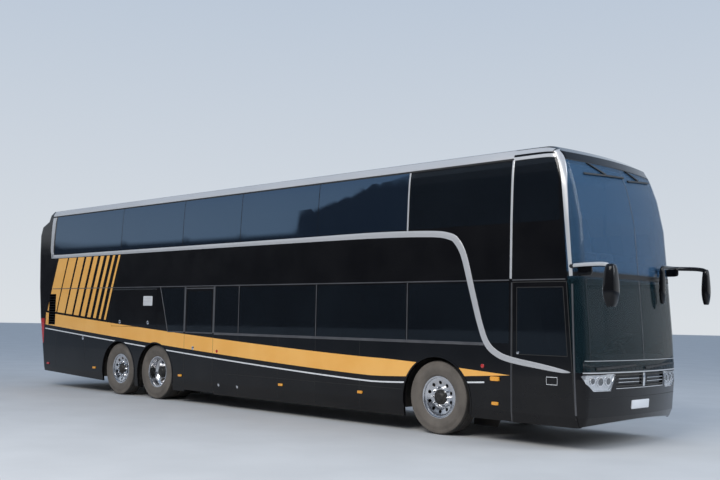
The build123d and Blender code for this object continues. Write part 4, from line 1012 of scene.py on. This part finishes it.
def tyre_profile(centre):
    """Closed section of a tyre with its bead, bulge, ribs and grooves."""
    section = [
        (-0.105, 0.287), (0.0, 0.287), (0.105, 0.287), (0.116, 0.303), (0.123, 0.316),
        (0.129, 0.322), (0.131, 0.336), (0.138, 0.352), (0.145, 0.378), (0.148, 0.4),
        (0.1485, 0.405), (0.1485, 0.418), (0.147, 0.423), (0.143, 0.448), (0.139, 0.463),
        (0.14, 0.467), (0.138, 0.492), (0.132, 0.51), (0.122, 0.519),
    ]
    ribs = []
    groove = 0.012
    for y in (0.083, 0.028, -0.028, -0.083):
        ribs += [(y + groove / 2, 0.5215), (y + groove / 4, 0.507), (y - groove / 4, 0.507),
                 (y - groove / 2, 0.5215)]
    other = [(-y, r) for y, r in reversed(section[3:])]
    return [(centre + y, r) for y, r in section + ribs + other]


def add_tyre(name, axle_x, centres, side, body):
    """Tyres with blocks at their shoulders and dusty sidewalls."""
    groups = []
    segments = 144
    notch = 0.006
    dusty_radius = 0.5
    for centre in centres:
        profile = tyre_profile(centre)
        points, faces = lathe(profile, segments, axle_x, side)
        for step in range(0, segments, 2):
            for k, (y, radius) in enumerate(profile, step * len(profile)):
                if 0.115 < abs(y - centre) < 0.1395 and radius > 0.488:
                    to_axle = Vector((axle_x - points[k].x, 0, HUB_HEIGHT - points[k].z))
                    points[k] = points[k] + to_axle.normalized() * notch
        groups.append((points, faces))
    piece = add_piece(name, groups, ["tyre", "sidewall"], body)
    for polygon in piece.data.polygons:
        middle = polygon.center
        if math.hypot(middle.x - axle_x, middle.z - HUB_HEIGHT) < dusty_radius:
            polygon.material_index = 1
    return piece


def barrel_profile(centre):
    """Closed section of a rim's barrel with its rolled flanges."""
    half = 0.115
    inner = RIM_RADIUS - 0.013
    lip = RIM_RADIUS + 0.016
    low, high = centre - half, centre + half
    return [
        (low, lip - 0.004), (low + 0.004, lip), (low + 0.009, lip - 0.002),
        (low + 0.011, RIM_RADIUS), (high - 0.011, RIM_RADIUS), (high - 0.009, lip - 0.002),
        (high - 0.004, lip), (high + 0.001, lip - 0.003), (high + 0.002, lip - 0.012),
        (high - 0.003, inner + 0.004), (high - 0.014, inner), (low + 0.014, inner),
        (low + 0.003, inner + 0.004), (low - 0.002, lip - 0.012),
    ]


def disc_height(radius, rim_y, disc_y):
    """Y of the wheel disc's outer face at a radius."""
    flat = 0.15
    edge = RIM_RADIUS - 0.014
    if radius <= flat:
        return disc_y
    share = (radius - flat) / (edge - flat)
    ease = share * share * (3 - 2 * share)
    return disc_y + (rim_y - disc_y) * ease


def disc_mesh(axle_x, side, rim_y, disc_y):
    """The pierced disc between hub and barrel."""
    hand_holes, hole_ring, hole_radius, hub_hole = 10, 0.205, 0.026, 0.06
    thickness = 0.012
    angles = [2 * math.pi * (k + 0.5) / hand_holes for k in range(hand_holes)]
    holes = [circle_loop(spot, hole_radius, 20) for spot in arc((0, 0), hole_ring, angles)]
    holes.append(circle_loop((0, 0), hub_hole, 40))
    outer = circle_loop((0, 0), RIM_RADIUS - 0.012, 80)
    flat, faces = flat_sheet([outer], holes, (0.017, 0.017))
    points = []
    for drop in (0.0, thickness):
        for u, v in flat:
            y = disc_height(math.hypot(u, v), rim_y, disc_y) - drop
            points.append((axle_x + u, side * y, HUB_HEIGHT + v))
    base = len(flat)
    rim = [(a, a + base, b + base, b) for a, b in rim_edges(faces)]
    return points, faces + [tuple(k + base for k in reversed(face)) for face in faces] + rim


def nut_mesh(axle_x, side, y, angle, ring_radius, size, length):
    """A hexagonal wheel nut with a domed end."""
    centre = arc((axle_x, HUB_HEIGHT), ring_radius, [angle])[0]
    hexagon = [angle + math.pi * k / 3 for k in range(6)]
    rings = ((1.0, 0.0), (1.0, 0.7), (0.8, 0.88), (0.35, 1.0))
    points = [
        (x, side * (y + reach * length), z)
        for share, reach in rings for x, z in arc(centre, share * size, hexagon)
    ]
    return points, ring_faces(len(rings), 6, caps=[(0, 1), (-1, 1)])


def hub_profile(low, high, radius, cap_radius, cap_high):
    """Closed section of the hub with a stepped cap."""
    bore = 0.001
    return [
        (low, bore), (low, radius), (high - 0.008, radius), (high, radius - 0.008),
        (high, cap_radius + 0.01), (high + 0.004, cap_radius + 0.004),
        (cap_high - 0.014, cap_radius), (cap_high - 0.004, cap_radius - 0.01),
        (cap_high, cap_radius * 0.55), (cap_high - 0.004, cap_radius * 0.5),
        (cap_high - 0.004, bore),
    ]


WHEELS = [
    # name, tyre centres, rim Y, disc Y, hub from, to, cap radius, cap Y
    ("front", [TRACK_Y], TRACK_Y + 0.095, 1.15, 0.975, 1.172, 0.066, 1.195),
    ("drive", [TRACK_Y, TRACK_Y - TWIN], TRACK_Y - 0.03, TRACK_Y - TWIN / 2, 0.66, 1.1, 0.08, 1.13),
    ("tag", [TRACK_Y], TRACK_Y + 0.095, 1.15, 0.905, 1.172, 0.066, 1.195),
]
HUB_RADIUS = 0.108
NUTS, NUT_RING = 10, 0.134
BOLTS, BOLT_RING = 8, 0.088
for name, centres, rim_y, disc_y, hub_low, hub_high, cap_radius, cap_y in WHEELS:
    axle_x = AXLES[name]
    for side, word, _ in SIDES:
        body = f"wheel_{name}_{word}"
        tyre_piece = add_tyre(f"tyre_treaded_{name}_{word}", axle_x, centres, side, body)
        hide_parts(f"tyre_{name}_{word}")
        groups = [lathe(barrel_profile(centre), 96, axle_x, side) for centre in centres]
        groups.append(disc_mesh(axle_x, side, rim_y, disc_y))
        if name == "drive":
            groups.append(disc_mesh(axle_x, side, centres[1] + 0.03, disc_y - 0.0125))
        rim_piece = add_piece(f"rim_polished_{name}_{word}", groups, "polished", body)
        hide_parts(f"rim_{name}_{word}")
        profile = hub_profile(hub_low, hub_high, HUB_RADIUS, cap_radius, cap_y)
        add_piece(f"hub_{name}_{word}", [lathe(profile, 64, axle_x, side)], "dark_metal", body)
        nuts = [
            nut_mesh(axle_x, side, disc_y, 2 * math.pi * k / NUTS, NUT_RING, 0.017, 0.04)
            for k in range(NUTS)
        ]
        add_piece(f"wheel_nuts_{name}_{word}", nuts, "chrome", body)
        bolts = [
            nut_mesh(axle_x, side, hub_high, 2 * math.pi * (k + 0.5) / BOLTS, BOLT_RING, 0.009, 0.01)
            for k in range(BOLTS)
        ]
        add_piece(f"hub_bolts_{name}_{word}", bolts, "dark_metal", body)


# Seats: crowned cushions and backs with sewn channels, headrests and frames
SEAT_CHANNELS = (-0.36, 0.0, 0.36)
SEAT_TILT = Matrix.Rotation(math.radians(-102), 3, "Y")
WAIST = 0.06
CROWN = 0.1
CHANNEL_DEPTH = 0.1
CHANNEL_WIDTH = 0.07
SEAT_PITCH = 0.86
LOWER_PITCH = 0.95
UPPER_FLOOR = 2.23
LOWER_FLOOR = 0.46
PLATFORM = 0.75


def cushion(centre, size, turn=None, channels=SEAT_CHANNELS, cuts=9):
    """A crowned soft block whose sides pull in, with channels sewn along its top face."""
    points, faces = rounded_box((0, 0, 0), (2, 2, 2), 4.5, cuts)
    made = []
    for x, y, z in points:
        pull = 1 - WAIST * (1 - z * z)
        crown = 1 + CROWN * max(z, 0) * (1 - x * x) * (1 - y * y) * 2
        groove = sum(math.exp(-((y - c) / CHANNEL_WIDTH) ** 2) for c in channels) if z > 0.4 else 0
        q = Vector((
            x * pull * size[0] / 2, y * pull * size[1] / 2,
            (z * crown - CHANNEL_DEPTH * groove * z) * size[2] / 2,
        ))
        made.append((turn @ q if turn else q) + Vector(centre))
    return made, faces


def seat_bank(place, level, inner, outer, heads):
    """Cushions, backs, headrests and frame of seats side by side at one place."""
    low, high = min(inner, outer), max(inner, outer)
    width = (high - low) / heads
    parts = {"cushions": [], "backs": [], "headrests": []}
    for head in range(heads):
        y = low + width * (head + 0.5)
        for kind, behind, above, length, side_gap, *form in (
            ("cushions", 0.195, 0.352, 0.375, 0.02, 0.125),
            ("backs", 0.5, 0.735, 0.64, 0.02, 0.1, SEAT_TILT),
            ("headrests", 0.548, 1.01, 0.15, 0.16, 0.06, SEAT_TILT, (), 6),
        ):
            size = (length, width - side_gap, form[0])
            parts[kind].append(cushion((place - behind, y, level + above), size, *form[1:]))
    parts["frames"] = [
        rounded_box((place - behind, (low + high) / 2, level + above), size, *form)
        for behind, above, size, form in (
            (0.24, 0.142, (0.345, high - low - 0.03, 0.284), (7.0, 4)),
            (0.536, 0.745, (0.66, high - low - 0.01, 0.022), (6.0, 5, SEAT_TILT)),
        )
    ]
    return parts


stair_rear, stair_front = st(-3.25), st(-1.45)
upper, lower = [], []
for place in [st(1.5) - row * SEAT_PITCH for row in range(14)]:
    upper.append((place, UPPER_FLOOR, -0.25, -1.19, 2))
    if place < stair_rear - 0.05 or place - 0.63 > stair_front + 0.05:
        upper.append((place, UPPER_FLOOR, 0.25, 1.19, 2))
lower += [(st(-1.5) - row * LOWER_PITCH, LOWER_FLOOR, -0.27, -1.19, 2) for row in range(4)]
lower += [(stair_rear - 0.35 - row * LOWER_PITCH, LOWER_FLOOR, 0.67, 1.19, 1) for row in range(3)]
lower.append((st(1.25), PLATFORM, 0.38, 0.9, 1))
SEAT_MATERIALS = {"cushions": "fabric", "backs": "fabric", "headrests": "leather", "frames": "plastic"}
for deck, rows in (("upper", upper), ("lower", lower)):
    banks = [seat_bank(*row) for row in rows]
    for kind, material in SEAT_MATERIALS.items():
        meshes = [mesh for bank in banks for mesh in bank[kind]]
        seat_piece = add_piece(f"{deck}_seat_{kind}", meshes, material)
        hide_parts(f"{deck}_seats")
# Stage: pale floor, soft light
floor_mesh = bpy.data.meshes.new("floor")
floor_work = bmesh.new()
bmesh.ops.create_circle(floor_work, cap_ends=True, radius=150, segments=96)
floor_work.to_mesh(floor_mesh)
floor_work.free()
floor = bpy.data.objects.new("floor", floor_mesh)
scene.collection.objects.link(floor)
floor_mesh.materials.append(surface("pale_floor", (0.56, 0.56, 0.56), 0.85, (0.6, 0.6, 0.6), 0.8))

world = bpy.data.worlds.new("studio")
scene.world = world
world.use_nodes = True
tree = world.node_tree
direction = add_node(tree, "SeparateXYZ", Vector=add_node(tree, "TexCoord").outputs["Generated"])
ahead, across, above = [direction.outputs[axis] for axis in "XYZ"]
sky = ramp_colour(tree, above, [(0.0, (0.78, 0.82, 0.86)), (0.6, (0.38, 0.5, 0.68))])

# A dark flat to the right of the coach, as a studio has, so that black paint stays black. It is
# low behind, where the upper panes show the sky, and only reflections see it.
flat_rear, flat_front = -0.88, -0.6
FLAT_HEIGHTS = [
    # direction's X, height of the flat's top
    (-0.87, 0.102), (-0.74, 0.13), (-0.735, 0.16), (-0.692, 0.228), (-0.675, 0.299),
    (-0.65, 0.392), (-0.605, 0.55),
]
flat_top = ramp_colour(tree, map_range(tree, ahead, flat_rear, flat_front), [
    ((x - flat_rear) / (flat_front - flat_rear), (height, height, height))
    for x, height in FLAT_HEIGHTS
])
below_top = map_range(tree, combined(tree, "SUBTRACT", flat_top, above), -0.006, 0.006)
toward_right = map_range(tree, across, 0.0, -0.35)
not_above = map_range(tree, above, 0.55, 0.25)
flat_share = combined(tree, "MULTIPLY", toward_right, not_above)
flat_share = combined(tree, "MULTIPLY", flat_share, below_top)
shaded = mixed(tree, flat_share, sky, (0.07, 0.08, 0.1, 1))
seen = mixed(tree, add_node(tree, "LightPath").outputs["Is Camera Ray"], shaded, sky)
feed(tree, tree.nodes["Background"], {"Color": seen, "Strength": 0.9})


def add_light(name, place, target, size, power, colour=(1, 1, 1)):
    """A soft area light that looks at a target."""
    data = bpy.data.lights.new(name, "AREA")
    data.shape = "RECTANGLE"
    data.size, data.size_y = size
    data.energy = power
    data.color = colour
    lamp = bpy.data.objects.new(name, data)
    scene.collection.objects.link(lamp)
    lamp.location = place
    aim = Vector(target) - Vector(place)
    lamp.rotation_euler = aim.to_track_quat("-Z", "Y").to_euler()


add_light("key", (6.0, -16.0, 14.0), (0, 0, 1.5), (14, 8), 2600, (1.0, 0.97, 0.92))
add_light("front_fill", (18.0, 4.0, 9.0), (6, 0, 1.5), (8, 8), 900, (0.92, 0.96, 1.0))
